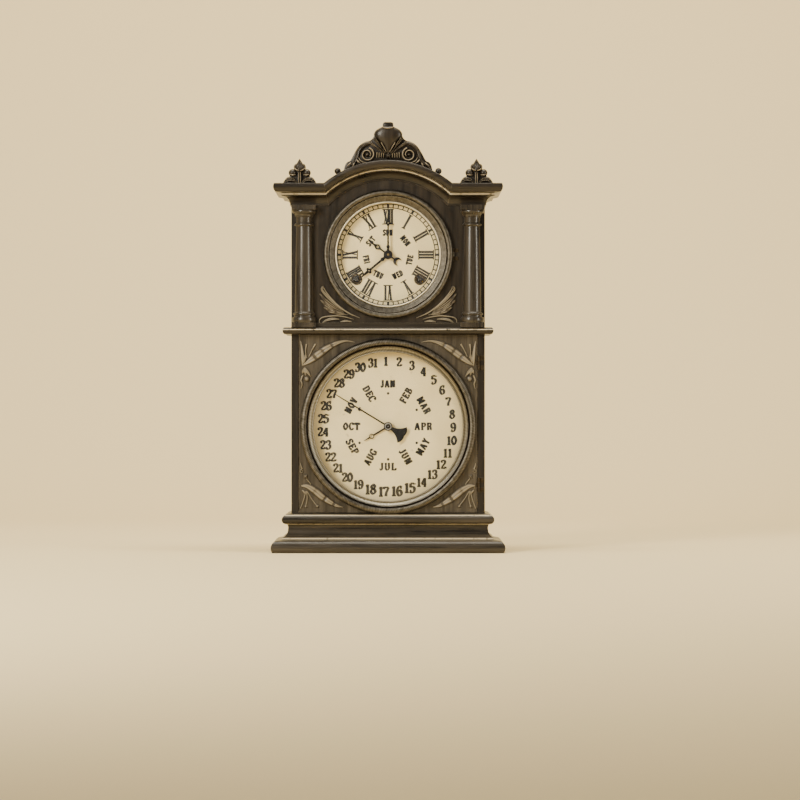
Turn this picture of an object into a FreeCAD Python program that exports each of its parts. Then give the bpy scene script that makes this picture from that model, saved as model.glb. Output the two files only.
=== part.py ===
import FreeCAD, Part
import math
import os

# A two-dial calendar shelf clock: an ebonised walnut case about 585 mm high, with a 5 inch time dial
# (hours, minutes and weekday) over an 8 inch calendar dial (date and month).
# Units are millimetres. X runs to the right, Y to the back and Z up; the origin is on the surface that the
# clock stands on, in the middle of its width and depth. The front of the case looks towards -Y.

V = FreeCAD.Vector
PARTS = "parts"
UP = V(0, 0, 1)
BACKWARD = V(0, 1, 0)      # a positive turn about this axis is clockwise to someone facing the clock

# ---- driving dimensions -------------------------------------------------------------------------------
CASE_W = 263.0             # width over the two sides
CASE_FRONT = -43.0         # front plane of sides, door and upper front board
CASE_BACK = 70.0
BOARD = 10.0               # side board thickness
PANEL = 12.0               # door and front board thickness
BASE_H = 53.7
BELT_LOW, BELT_TOP = 296.8, 305.9
WING_TOP = 500.9           # top of the cornice's level wings
ARCH_APEX = 531.8
CREST_TOP = 584.4
TIME_Z = 405.4             # centre height of the time dial
CAL_Z = 171.4              # centre height of the calendar dial
TIME_SIGHT, TIME_RIM = 70.0, 85.7        # radii of the time bezel, inside and outside
CAL_SIGHT, CAL_RIM = 101.3, 117.0        # radii of the calendar bezel
WINDING_X, WINDING_DROP = 42.9, 33.6     # winding arbors, from the time dial's centre

HALF_W = CASE_W / 2
INNER_X = HALF_W - BOARD
BACK_BOARD = 8.0
INNER_BACK = CASE_BACK - BACK_BOARD
PANEL_BACK = CASE_FRONT + PANEL
ARCH_CHORD_Z = WING_TOP
ARCH_HALF_CHORD = 86.7
ARCH_RISE = ARCH_APEX - WING_TOP
ARCH_R = (ARCH_HALF_CHORD**2 + ARCH_RISE**2) / (2 * ARCH_RISE)
ARCH_Z = ARCH_APEX - ARCH_R


# ---- making and saving --------------------------------------------------------------------------------
def save(name, *shapes):
    """Writes one node as a STEP file holding its separate solids."""
    solids = [s for shape in shapes for s in shape.Solids]
    for solid in solids:
        if not solid.isValid() or solid.Volume <= 0:
            raise ValueError(name + " holds a bad solid")
    Part.makeCompound(solids).exportStep(os.path.join(PARTS, name + ".step"))


def block(x0, x1, y0, y1, z0, z1):
    return Part.makeBox(x1 - x0, y1 - y0, z1 - z0, V(x0, y0, z0))


def rod_y(radius, y0, y1, x=0.0, z=0.0):
    return Part.makeCylinder(radius, y1 - y0, V(x, y0, z), BACKWARD)


def rod_z(radius, z0, z1, x=0.0, y=0.0):
    return Part.makeCylinder(radius, z1 - z0, V(x, y, z0), UP)


def ring_y(outer, inner, y0, y1, x=0.0, z=0.0):
    return rod_y(outer, y0, y1, x, z).cut(rod_y(inner, y0 - 1, y1 + 1, x, z))


def wire(points):
    """A closed wire. A point is (a, b), or (a, b, via_a, via_b) for an arc that ends at (a, b)."""
    edges = []
    last = V(points[-1][0], points[-1][1], 0)
    for p in points:
        here = V(p[0], p[1], 0)
        if len(p) == 4:
            edges.append(Part.Arc(last, V(p[2], p[3], 0), here).toShape())
        elif here.distanceToPoint(last) > 1e-6:
            edges.append(Part.LineSegment(last, here).toShape())
        last = here
    return Part.Wire(edges)


def placed(face, origin, a_axis, b_axis):
    """Carries a face drawn in (a, b) to the plane with those two axes in space."""
    c = a_axis.cross(b_axis)
    m = FreeCAD.Matrix(a_axis.x, b_axis.x, c.x, origin.x,
                       a_axis.y, b_axis.y, c.y, origin.y,
                       a_axis.z, b_axis.z, c.z, origin.z, 0, 0, 0, 1)
    moved = face.copy()
    moved.Placement = FreeCAD.Placement(m)
    return moved


def plate(points, y0, y1):
    """An outline in (x, z), cut from a board that lies between y0 and y1."""
    face = placed(Part.Face(wire(points)), V(0, y0, 0), V(1, 0, 0), UP)
    return face.extrude(V(0, y1 - y0, 0))


def mirrored(shape):
    return shape.mirror(V(0, 0, 0), V(1, 0, 0))


def turned(shape, degrees, x=0.0, z=0.0):
    """The shape turned clockwise, as seen from the front, about an axis at (x, z)."""
    done = shape.copy()
    done.rotate(V(x, 0, z), BACKWARD, degrees)
    return done


def lathe_y(profile, z):
    """A turning about the front-to-back axis at height z, from a profile in (radius, y)."""
    face = placed(Part.Face(wire(profile)), V(0, 0, z), V(1, 0, 0), BACKWARD)
    return face.revolve(V(0, 0, z), BACKWARD, 360)


# ---- mouldings ----------------------------------------------------------------------------------------
def mitred_moulding(profile, front_scale):
    """Front length and two side returns of a moulding, mitred at the corners. The profile is in
    (overhang, z); the front piece stands out front_scale times as far as the sides."""
    reach = 1.5 * max(p[0] for p in profile)
    fy, by, w = CASE_FRONT, CASE_BACK, HALF_W
    scaled = [tuple(v * front_scale if i % 2 == 0 else v for i, v in enumerate(p)) for p in profile]
    z0 = min(p[1] for p in profile) - 1
    high = max(p[1] for p in profile) - z0 + 1
    front = placed(Part.Face(wire(scaled)), V(-2 * w, fy, 0), V(0, -1, 0), UP).extrude(V(4 * w, 0, 0))
    plan = [V(-w, fy, z0), V(w, fy, z0), V(w + reach, fy - reach * front_scale, z0),
            V(-w - reach, fy - reach * front_scale, z0), V(-w, fy, z0)]
    front = front.common(Part.Face(Part.makePolygon(plan)).extrude(V(0, 0, high)))
    side = placed(Part.Face(wire(profile)), V(w, -2 * w, 0), V(1, 0, 0), UP)
    side = side.extrude(V(0, by + 2 * w, 0))
    plan = [V(w, fy, z0), V(w + reach, fy - reach * front_scale, z0), V(w + reach, by, z0),
            V(w, by, z0), V(w, fy, z0)]
    side = side.common(Part.Face(Part.makePolygon(plan)).extrude(V(0, 0, high)))
    return front, side, mirrored(side)


BASE_PROFILE = [(0, 0), (25.0, 0), (21.5, 16.2, 27.2, 8.0), (12.0, 18.2), (12.0, 20.6),
                (4.4, 32.0, 6.4, 25.0), (5.4, 38.4, 4.3, 35.3), (8.2, 38.9),
                (8.7, 50.6, 12.7, 45.0), (7.0, 52.0), (0, BASE_H)]
BELT_PROFILE = [(0, BELT_LOW), (8.6, BELT_LOW), (8.6, BELT_TOP, 11.4, (BELT_LOW + BELT_TOP) / 2),
                (0, BELT_TOP)]
# The cornice section: overhang, and depth below its top edge.
CORNICE = [(0, 0), (22.6, 0), (21.0, 11.4, 23.8, 5.8), (14.6, 12.9), (13.0, 12.9), (13.0, 16.4),
           (1.8, 26.6, 5.0, 19.4), (1.8, 28.8), (0, 28.8)]
CORNICE_H = 28.8
CORNICE_FRONT = 1.2        # the front stands out this much further than the sides
ARCH_THIN = 0.87           # the arched length is planed this much lower than the wings
BELT_FRONT = 1.55


def base_moulding():
    return mitred_moulding(BASE_PROFILE, 1.0)


def belt_moulding():
    return mitred_moulding(BELT_PROFILE, BELT_FRONT)


def mitre_corner():
    """The foot of the mitre between wing and arch, in (x, z) on the right-hand side."""
    z = WING_TOP - CORNICE_H
    r = ARCH_R - ARCH_THIN * CORNICE_H
    return math.sqrt(r**2 - (z - ARCH_Z) ** 2), z


def cornice_wings():
    """Each wing is a front length, mitred to the arch, and a return along the side."""
    profile = [tuple(v if i % 2 == 0 else WING_TOP - v for i, v in enumerate(p)) for p in CORNICE]
    front, right, left = mitred_moulding(profile, CORNICE_FRONT)
    fx, fz = mitre_corner()
    dx, dz = (ARCH_HALF_CHORD - fx) / 10, (WING_TOP - fz) / 10
    far = CASE_W
    outer = [(fx - dx, fz - dz), (ARCH_HALF_CHORD + dx, WING_TOP + dz), (far, WING_TOP + dz), (far, fz - dz)]
    keep = plate(outer, -far, far)
    return front.common(keep), right, front.common(mirrored(keep)), left


def cornice_arch():
    """The arched length, turned about the arch's own centre and mitred to the wings."""
    profile = [tuple(ARCH_R - ARCH_THIN * p[i + 1] if k == 0 else CASE_FRONT - CORNICE_FRONT * p[i]
                     for i in range(0, len(p), 2) for k in (0, 1)) for p in CORNICE]
    ring = lathe_y(profile, ARCH_Z)
    fx, fz = mitre_corner()
    high = ARCH_APEX + 5
    keep = [(-fx, fz), (fx, fz), (ARCH_HALF_CHORD, WING_TOP), (ARCH_HALF_CHORD, high),
            (-ARCH_HALF_CHORD, high), (-ARCH_HALF_CHORD, WING_TOP)]
    return ring.common(plate(keep, -CASE_W, CASE_W))


# ---- case boards --------------------------------------------------------------------------------------
ROOF_T = 8.0
SLOT_HALF, SLOT_Y0, SLOT_Y1 = 46.0, 32.0, 50.0      # pendulum and hammer slot in the divider shelf
TIME_OPENING = 77.0
DOOR_OPENING = 107.5
DOOR_GAP = 0.6


def side_board():
    return block(INNER_X, HALF_W, CASE_FRONT, CASE_BACK, 0, WING_TOP - ROOF_T)


def under_roof(x_half, z0, y0, y1):
    """A board from z0 up to the underside of the roof, following its arch."""
    r = ARCH_R - ROOF_T
    z = WING_TOP - ROOF_T
    x = math.sqrt(r**2 - (z - ARCH_Z) ** 2)
    return plate([(-x_half, z0), (x_half, z0), (x_half, z), (x, z), (-x, z, 0, ARCH_Z + r), (-x_half, z)],
                 y0, y1)


def bezel_clip():
    """A spring clip let into the board, which holds the time bezel shut by its neck."""
    return block(-79.0, -76.1, CASE_FRONT + 1, PANEL_BACK - 2, TIME_Z - 6, TIME_Z + 6)


def upper_front_board():
    board = under_roof(INNER_X, BELT_TOP, CASE_FRONT, PANEL_BACK)
    return board.cut(rod_y(TIME_OPENING, CASE_FRONT - 1, PANEL_BACK + 1, 0, TIME_Z)).cut(bezel_clip())


def roof_board():
    r = ARCH_R - ROOF_T
    z0 = WING_TOP - ROOF_T
    x0 = math.sqrt(r**2 - (z0 - ARCH_Z) ** 2)
    outline = [(-HALF_W, z0), (-x0, z0), (x0, z0, 0, ARCH_Z + r), (HALF_W, z0), (HALF_W, WING_TOP),
               (ARCH_HALF_CHORD, WING_TOP), (-ARCH_HALF_CHORD, WING_TOP, 0, ARCH_APEX), (-HALF_W, WING_TOP)]
    return plate(outline, CASE_FRONT, CASE_BACK)


def divider_shelf():
    shelf = block(-INNER_X, INNER_X, CASE_FRONT, INNER_BACK, BELT_LOW, BELT_TOP)
    shelf = shelf.cut(block(-SLOT_HALF, SLOT_HALF, SLOT_Y0, SLOT_Y1, BELT_LOW - 1, BELT_TOP + 1))
    return shelf.cut(rod_z(4.0, BELT_LOW - 1, BELT_TOP + 1, LIFT_ROD_X, LIFT_ROD_Y))


def back_board():
    return under_roof(INNER_X, 0, INNER_BACK, CASE_BACK)


def base_rail():
    return block(-INNER_X, INNER_X, CASE_FRONT, PANEL_BACK, 0, BASE_H - 1)


def bottom_board():
    return block(-INNER_X, INNER_X, PANEL_BACK, INNER_BACK, 8, 18)


CAL_BOARD_Y0, CAL_BOARD_Y1 = -27.0, -18.0
CAL_BOARD_HOLE = 62.0


def calendar_board():
    board = block(-INNER_X, INNER_X, CAL_BOARD_Y0, CAL_BOARD_Y1, BASE_H, BELT_LOW)
    return board.cut(rod_y(CAL_BOARD_HOLE, CAL_BOARD_Y0 - 1, CAL_BOARD_Y1 + 1, 0, CAL_Z))


def door_panel():
    panel = block(-INNER_X + DOOR_GAP, INNER_X - DOOR_GAP, CASE_FRONT, PANEL_BACK,
                  BASE_H + DOOR_GAP, BELT_LOW - DOOR_GAP)
    panel = panel.cut(rod_y(DOOR_OPENING, CASE_FRONT - 1, PANEL_BACK + 1, 0, CAL_Z))
    return panel.cut(block(-INNER_X - 1, -INNER_X + 4, PANEL_BACK - 3, PANEL_BACK + 1, 164, 178))


# ---- columns, crest, finials and carvings -------------------------------------------------------------
COLUMN_X = 114.2
COLUMN_AXIS_Y = CASE_FRONT - 3.0
COLUMN_Z0, COLUMN_Z1 = 312.5, 465.5
BLOCK_HALF, BLOCK_OUT = 16.2, 17.4
SHAFT_LOW_R, SHAFT_TOP_R = 12.8, 10.8


def column():
    """One turning: base torus, tapering shaft, astragal, neck and echinus, sawn flat at the back."""
    lo, hi = COLUMN_Z0, COLUMN_Z1
    profile = [(0, lo), (15.4, lo), (15.4, lo + 7.4, 16.2, lo + 3.7), (13.6, lo + 8.0), (13.6, lo + 10.0),
               (14.2, lo + 13.2, 15.0, lo + 11.6), (SHAFT_LOW_R, lo + 14.6),
               (SHAFT_TOP_R, hi - 22.5, 12.3, lo + 60), (12.3, hi - 21.8), (12.3, hi - 18.4, 13.2, hi - 20.1),
               (10.9, hi - 17.4), (11.2, hi - 10.0), (12.4, hi - 9.0), (15.4, hi - 4.4, 13.2, hi - 6.2),
               (15.4, hi, 16.2, hi - 2.2), (0, hi)]
    face = placed(Part.Face(wire(profile)), V(0, 0, 0), V(1, 0, 0), UP)
    shaft = face.revolve(V(0, 0, 0), UP, 360)
    shaft.translate(V(COLUMN_X, COLUMN_AXIS_Y, 0))
    return shaft.cut(block(0, CASE_W, CASE_FRONT, CASE_BACK, lo - 1, hi + 1))


def column_blocks():
    low = block(COLUMN_X - BLOCK_HALF, COLUMN_X + BLOCK_HALF, CASE_FRONT - BLOCK_OUT, CASE_FRONT,
                BELT_TOP, COLUMN_Z0)
    top = block(COLUMN_X - BLOCK_HALF, COLUMN_X + BLOCK_HALF, CASE_FRONT - BLOCK_OUT, CASE_FRONT,
                COLUMN_Z1, WING_TOP - CORNICE_H)
    return low, top, mirrored(low), mirrored(top)


CREST_Y0, CREST_Y1 = -62.0, -46.0
# Right half of the crest's outline from the foot up, in (x, z) or (x, z, via x, via z).
CREST_EDGE = [(60.5, 519.2), (57.0, 527.6), (52.4, 530.6, 55.0, 531.0), (50.0, 534.6),
              (42.6, 547.6, 47.8, 541.8), (27.0, 559.6, 36.4, 556.4), (21.4, 561.6), (18.4, 565.4),
              (8.4, 577.4, 17.6, 573.4), (6.4, 578.6), (6.6, CREST_TOP - 2.6), (4.4, CREST_TOP)]
CREST_BALL_R = 4.4
CREST_BALL_X = 68.4


def crest():
    """The carved crest blank, standing on the arch, with a small turned ball at each foot."""
    foot = CREST_EDGE[0]
    start = (foot[0], ARCH_Z + math.sqrt(ARCH_R**2 - foot[0] ** 2))
    right = [start] + CREST_EDGE
    left = [(-right[-1][0], right[-1][1])]
    for here, before in zip(reversed(right[1:]), reversed(right[:-1])):
        end = (-before[0], before[1])
        left.append(end + (-here[2], here[3]) if len(here) == 4 else end)
    outline = [(start[0], start[1], 0, ARCH_APEX)] + right[1:] + left
    blank = plate(outline, CREST_Y0, CREST_Y1)
    ball_z = ARCH_Z + math.sqrt((ARCH_R + CREST_BALL_R - 0.4) ** 2 - CREST_BALL_X**2)
    ball = Part.makeSphere(CREST_BALL_R, V(CREST_BALL_X, (CREST_Y0 + CREST_Y1) / 2, ball_z))
    ball = ball.cut(rod_y(ARCH_R, CREST_Y0 - 9, CREST_Y1 + 9, 0, ARCH_Z))
    return blank, ball, mirrored(ball)


FINIAL_X, FINIAL_Y0, FINIAL_Y1 = 120.0, -60.0, -46.0
FINIAL_EDGE = [(22.8, 0), (20.6, 3.6), (17.6, 8.4), (14.6, 10.2), (12.6, 18.8, 17.0, 15.6), (8.6, 18.4),
               (9.6, 23.6), (6.8, 27.0), (4.4, 25.6), (0, 33.9)]


def finial():
    right = [(FINIAL_X + p[0], WING_TOP + p[1]) + ((FINIAL_X + p[2], WING_TOP + p[3]) if len(p) == 4 else ())
             for p in FINIAL_EDGE]
    left = []
    for here, before in zip(reversed(FINIAL_EDGE), reversed(FINIAL_EDGE[:-1])):
        end = (FINIAL_X - before[0], WING_TOP + before[1])
        left.append(end + (FINIAL_X - here[2], WING_TOP + here[3]) if len(here) == 4 else end)
    return plate(right + left, FINIAL_Y0, FINIAL_Y1)


CARVING_T = 4.0


def spandrel_leaf():
    """The leaf in the lower right corner of the upper front board, under the bezel's curve."""
    r = TIME_RIM + 1.0
    a0, a1 = math.radians(-81), math.radians(-37)
    p0 = (r * math.cos(a0), TIME_Z + r * math.sin(a0))
    p1 = (r * math.cos(a1), TIME_Z + r * math.sin(a1))
    am = (a0 + a1) / 2
    via = (r * math.cos(am), TIME_Z + r * math.sin(am))
    outline = [p1 + via, (76.0, 361.0), (80.5, 354.0), (80.5, 345.0), (76.0, 335.0), (84.0, 322.0),
               (80.0, 315.6), (30.0, 315.0), p0]
    return plate(outline, CASE_FRONT - CARVING_T, CASE_FRONT)


def door_carving():
    """The spray in the upper right corner of the door: a flower head, one long leaf along the top and a
    short one down the side."""
    top, side = BELT_LOW, INNER_X - DOOR_GAP
    outline = [(40.0, top - 15.5), (60.0, top - 26.0), (82.0, top - 43.0), (96.0, top - 55.0),
               (107.0, top - 73.0), (113.5, top - 92.0), (116.5, top - 92.0), (side - 4, top - 60.0),
               (side - 2, top - 12.0), (side - 9, top - 11.0), (92.0, top - 18.0), (60.0, top - 9.5),
               (44.0, top - 8.5)]
    return plate(outline, CASE_FRONT - CARVING_T, CASE_FRONT)


def door_carvings():
    upper = door_carving().cut(rod_y(CAL_RIM + 0.6, CASE_FRONT - 20, CASE_FRONT + 1, 0, CAL_Z))
    middle = (BASE_H + BELT_LOW) / 2
    lower = upper.mirror(V(0, 0, middle), UP)
    lower = lower.cut(rod_y(CAL_RIM + 0.6, CASE_FRONT - 20, CASE_FRONT + 1, 0, CAL_Z))
    return upper, mirrored(upper), lower, mirrored(lower)


# ---- bezels, glasses and dials ------------------------------------------------------------------------
def bezel(sight, rim, rebate, neck, bead, front):
    """A spun brass ring in (radius, y): an outer bead, a groove, a hollow running in to a sight lip, and a
    neck behind it that holds the glass."""
    f = CASE_FRONT
    return [(rim, f), (rim, f - 2.0), (rim - bead, f - front + 1.2, rim - bead * 0.35, f - front),
            (rim - bead - 0.6, f - front + 3.0), (sight + 2.2, f - 3.4, sight + 4.6, f - front + 4.4),
            (sight + 1.6, f - 4.2), (sight, f - 3.2, sight + 0.3, f - 4.2), (sight, f - 1.0),
            (rebate, f - 1.0), (rebate, f + 3.0), (neck, f + 3.0), (neck, f)]


TIME_REBATE, TIME_NECK = 73.4, 75.6
CAL_REBATE, CAL_NECK = 104.6, 106.8
GLASS_T = 2.4


def time_bezel():
    ring = lathe_y(bezel(TIME_SIGHT, TIME_RIM, TIME_REBATE, TIME_NECK, 6.2, 9.0), TIME_Z)
    keeper = ring_y(TIME_REBATE - 0.05, TIME_REBATE - 2.0, CASE_FRONT - 1 + GLASS_T, CASE_FRONT + 2.6,
                    0, TIME_Z)
    return ring, keeper


def calendar_bezel():
    ring = lathe_y(bezel(CAL_SIGHT, CAL_RIM, CAL_REBATE, CAL_NECK, 7.6, 10.5), CAL_Z)
    keeper = ring_y(CAL_REBATE - 0.05, CAL_REBATE - 2.0, CASE_FRONT - 1 + GLASS_T, CASE_FRONT + 2.6,
                    0, CAL_Z)
    return ring, keeper


def glass(radius, z):
    return rod_y(radius - 0.05, CASE_FRONT - 1, CASE_FRONT - 1 + GLASS_T, 0, z)


TIME_DIAL_Y = PANEL_BACK           # front face of the time dial
CAL_DIAL_Y = CAL_BOARD_Y0 - 0.8
DIAL_T = 0.8
WINDING_HOLE = 5.4


def time_dial():
    dial = rod_y(TIME_OPENING + 6, TIME_DIAL_Y, TIME_DIAL_Y + DIAL_T, 0, TIME_Z)
    dial = dial.cut(rod_y(6.2, TIME_DIAL_Y - 1, TIME_DIAL_Y + 2, 0, TIME_Z))
    for x in (-WINDING_X, WINDING_X):
        dial = dial.cut(rod_y(WINDING_HOLE + 0.8, TIME_DIAL_Y - 1, TIME_DIAL_Y + 2, x, TIME_Z - WINDING_DROP))
    return dial


def winding_grommets():
    """Two brass eyelets, each flanged on the dial's face."""
    made = []
    for x in (-WINDING_X, WINDING_X):
        z = TIME_Z - WINDING_DROP
        collar = ring_y(WINDING_HOLE + 0.8, WINDING_HOLE, TIME_DIAL_Y - 0.7, TIME_DIAL_Y + DIAL_T + 0.4, x, z)
        flange = ring_y(7.6, WINDING_HOLE, TIME_DIAL_Y - 0.7, TIME_DIAL_Y, x, z)
        made.append(collar.fuse(flange).removeSplitter())
    return made


def calendar_dial():
    dial = rod_y(110.0, CAL_DIAL_Y, CAL_DIAL_Y + DIAL_T, 0, CAL_Z)
    return dial.cut(rod_y(5.0, CAL_DIAL_Y - 1, CAL_DIAL_Y + 2, 0, CAL_Z))


# ---- gears --------------------------------------------------------------------------------------------
ADDENDUM, DEDENDUM, TOOTH = 0.7, 1.05, 0.36        # in modules, modules and pitches


def polygon_bore(radius, y0, y1, x, z, sides=12):
    """A flat-sided bore that just clears a round arbor of the given radius."""
    r = radius / math.cos(math.pi / sides)
    points = [(x + r * math.cos(2 * math.pi * k / sides), z + r * math.sin(2 * math.pi * k / sides))
              for k in range(sides)]
    return plate(points, y0, y1)


def gear(teeth, module, y0, y1, x, z, bore, phase=0.0, spokes=0):
    """A flat-sided spur wheel. phase is the angle of one tooth's centre from +X towards +Z, in radians."""
    pitch_r = teeth * module / 2
    half = math.pi * TOOTH / teeth
    lean = math.tan(math.radians(20)) / pitch_r
    points = []
    for k in range(teeth):
        a = phase + 2 * math.pi * k / teeth
        low, high = DEDENDUM * module, ADDENDUM * module
        flank = [(pitch_r - low, half + lean * low * 0.6), (pitch_r, half), (pitch_r + high, half - lean * high)]
        for r, w in flank:
            points.append((x + r * math.cos(a - w), z + r * math.sin(a - w)))
        for r, w in reversed(flank):
            points.append((x + r * math.cos(a + w), z + r * math.sin(a + w)))
    wheel = plate(points, y0, y1).cut(polygon_bore(bore, y0 - 1, y1 + 1, x, z))
    hub, rim = bore + 2.4, pitch_r - (DEDENDUM + 2.4) * module
    for k in range(spokes):
        a0 = phase + 2 * math.pi * (k + 0.1) / spokes
        a1 = phase + 2 * math.pi * (k + 0.9) / spokes
        window = [(x + r * math.cos(a), z + r * math.sin(a)) for r, a in
                  ((hub, (a0 + a1) / 2 - 0.25), (rim, a0), (rim, a0 * 0.66 + a1 * 0.34),
                   (rim, a0 * 0.34 + a1 * 0.66), (rim, a1), (hub, (a0 + a1) / 2 + 0.25))]
        wheel = wheel.cut(plate(window, y0 - 1, y1 + 1))
    return wheel


def in_mesh(phase, teeth, mate_teeth, angle):
    """The phase of a mate that lies at an angle from a wheel of the given phase, so that the two mesh."""
    return angle + math.pi - (phase - angle) * teeth / mate_teeth - math.pi / mate_teeth


def polar(x, z, r, degrees):
    a = math.radians(degrees)
    return x + r * math.cos(a), z + r * math.sin(a)


def angle_of(a, b):
    return math.atan2(b[1] - a[1], b[0] - a[0])


def meet(a, ra, b, rb, side):
    """The point at distance ra from a and rb from b, on the left (+1) or right (-1) of the line a to b."""
    d = math.dist(a, b)
    along = (ra**2 - rb**2 + d**2) / (2 * d)
    off = side * math.sqrt(ra**2 - along**2)
    ux, uz = (b[0] - a[0]) / d, (b[1] - a[1]) / d
    return a[0] + along * ux - off * uz, a[1] + along * uz + off * ux


def arbor(radius, y0, y1, at):
    return rod_y(radius, y0, y1, *at)


def on_arbor(radius, y0, y1, at, *wheels):
    """One arbor with its wheels and pinions, as separate solids."""
    return [arbor(radius, y0, y1, at)] + list(wheels)


# ---- movement -----------------------------------------------------------------------------------------
FRONT_PLATE = (-12.0, -10.4)
BACK_PLATE = (26.0, 27.6)
PLATE_HALF_W, PLATE_DOWN, PLATE_UP = 80.0, 74.0, 70.0
FIT = 0.05                 # running clearance on the radius

CENTRE = (0.0, TIME_Z)
TIME_DRUM = (WINDING_X, TIME_Z - WINDING_DROP)
STRIKE_DRUM = (-WINDING_X, TIME_Z - WINDING_DROP)
GREAT_T, GREAT_M = 72, 0.9
SECOND_T, SECOND_M, SECOND_P = 60, 0.7, 12
CENTRE_T, CENTRE_M, CENTRE_P = 64, 0.6, 10
THIRD_T, THIRD_M, THIRD_P = 60, 0.6, 8
ESCAPE_T, ESCAPE_P, ESCAPE_R = 60, 8, 16.0
FLY_P = 10
GREAT_REACH = (GREAT_T + SECOND_P) * GREAT_M / 2
SECOND_REACH = (SECOND_T + CENTRE_P) * SECOND_M / 2
CENTRE_REACH = (CENTRE_T + THIRD_P) * CENTRE_M / 2
THIRD_REACH = (THIRD_T + ESCAPE_P) * THIRD_M / 2
SECOND = meet(TIME_DRUM, GREAT_REACH, CENTRE, SECOND_REACH, -1)
ESCAPE = (0.0, TIME_Z + 38.0)
THIRD = meet(CENTRE, CENTRE_REACH, ESCAPE, THIRD_REACH, -1)
VERGE = (0.0, TIME_Z + 62.0)
PIN_WHEEL = meet(STRIKE_DRUM, GREAT_REACH, CENTRE, 30.0, 1)
FLY = polar(PIN_WHEEL[0], PIN_WHEEL[1], SECOND_REACH, 100)
HAMMER = (-13.0, TIME_Z - 62.0)
DRUM_R, WHEEL_R, FINE_R = 3.0, 1.5, 1.0

SECOND_P_PHASE = in_mesh(0, GREAT_T, SECOND_P, angle_of(TIME_DRUM, SECOND))
CENTRE_P_PHASE = in_mesh(0, SECOND_T, CENTRE_P, angle_of(SECOND, CENTRE))
THIRD_P_PHASE = in_mesh(0, CENTRE_T, THIRD_P, angle_of(CENTRE, THIRD))
ESCAPE_P_PHASE = in_mesh(0, THIRD_T, ESCAPE_P, angle_of(THIRD, ESCAPE))
PIN_P_PHASE = in_mesh(0, GREAT_T, SECOND_P, angle_of(STRIKE_DRUM, PIN_WHEEL))
FLY_P_PHASE = in_mesh(0, SECOND_T, FLY_P, angle_of(PIN_WHEEL, FLY))

# Motion work in front of the front plate: each stage lists its teeth and module.
MOTION_REACH = 14.4
CANNON_P, MINUTE_T, MINUTE_M = 12, 36, 0.6
MINUTE_P, HOUR_T, HOUR_M = 10, 40, 0.576
DAY_REACH = 21.6
HOUR_P, IDLER_T, IDLER_M = 12, 42, 0.8
IDLER_P, DAY_T, DAY_M = 8, 32, 1.08
MINUTE_STUD = (MOTION_REACH, TIME_Z)
IDLER_STUD = (-DAY_REACH, TIME_Z)
STUD_R = 1.2
CENTRE_R, CANNON_R, HOUR_PIPE_R, DAY_PIPE_R = 1.5, 2.4, 3.5, 4.6

# Calendar work: the same two-to-one-twelfth stages, between the calendar plate and the dial.
CAL_CENTRE = (0.0, CAL_Z)
CAL_STUD = (MOTION_REACH, CAL_Z)
DATE_R, MONTH_PIPE_R = 2.0, 3.2
CAL_FRONT_PLATE = (-18.0, -16.4)
CAL_BACK_PLATE = (8.0, 9.6)
CAL_HALF_W, CAL_HALF_H = 72.0, 34.0
LIFT_ROD_X, LIFT_ROD_Y, LIFT_ROD_R = 30.0, -6.0, 1.6
LIFT_GUIDE_Z = 201.0

# Hands, front to back, each between two heights above its dial.
WEEKDAY_HAND_Y = (-33.4, -32.6)
HOUR_HAND_Y = (-35.6, -34.8)
MINUTE_HAND_Y = (-37.8, -37.0)
MONTH_HAND_Y = (-30.6, -29.8)
DATE_HAND_Y = (-33.0, -32.2)
HOUR_AT, WEEKDAY_AT, DATE_AT, MONTH_AT = 230.0, 306.0, 301.3, 239.0


def bored(shape, radius, *places):
    low, high = shape.BoundBox.YMin - 1, shape.BoundBox.YMax + 1
    for at in places:
        shape = shape.cut(rod_y(radius, low, high, *at))
    return shape


def movement_plates():
    """Front and back plates, four pillars between them, the two studs of the motion work, the suspension
    cock, and four posts that carry it all from the back board."""
    x, lo, hi = PLATE_HALF_W, TIME_Z - PLATE_DOWN, TIME_Z + PLATE_UP
    outline = [(-x, lo), (x, lo), (x, TIME_Z + 8), (40, hi), (-40, hi), (-x, TIME_Z + 8)]
    corners = [(x - 8, lo + 8), (-x + 8, lo + 8), (34, hi - 8), (-34, hi - 8)]
    made = []
    for y0, y1 in (FRONT_PLATE, BACK_PLATE):
        sheet = plate(outline, y0, y1)
        sheet = bored(sheet, DRUM_R + FIT, TIME_DRUM, STRIKE_DRUM)
        sheet = bored(sheet, WHEEL_R + FIT, SECOND, CENTRE, PIN_WHEEL, HAMMER)
        sheet = bored(sheet, FINE_R + FIT, THIRD, ESCAPE, FLY, VERGE)
        made.append(sheet)
    for at in corners:
        made.append(rod_y(4.0, FRONT_PLATE[1], BACK_PLATE[0], *at))
        made.append(rod_y(5.0, BACK_PLATE[1], INNER_BACK, *at))
    for at, y0 in ((MINUTE_STUD, -21.6), (IDLER_STUD, -28.6)):
        made.append(rod_y(STUD_R, y0, FRONT_PLATE[0], *at))
    cock = block(-5, 5, BACK_PLATE[1], 41, VERGE[1] - 2.0, VERGE[1] + 6)
    cock = cock.cut(block(-0.7, 0.7, 35.5, 42, VERGE[1] - 3, VERGE[1] + 3.6))
    made.append(cock.cut(rod_y(FINE_R + 2, 20, 33, *VERGE)))
    return made


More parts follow.
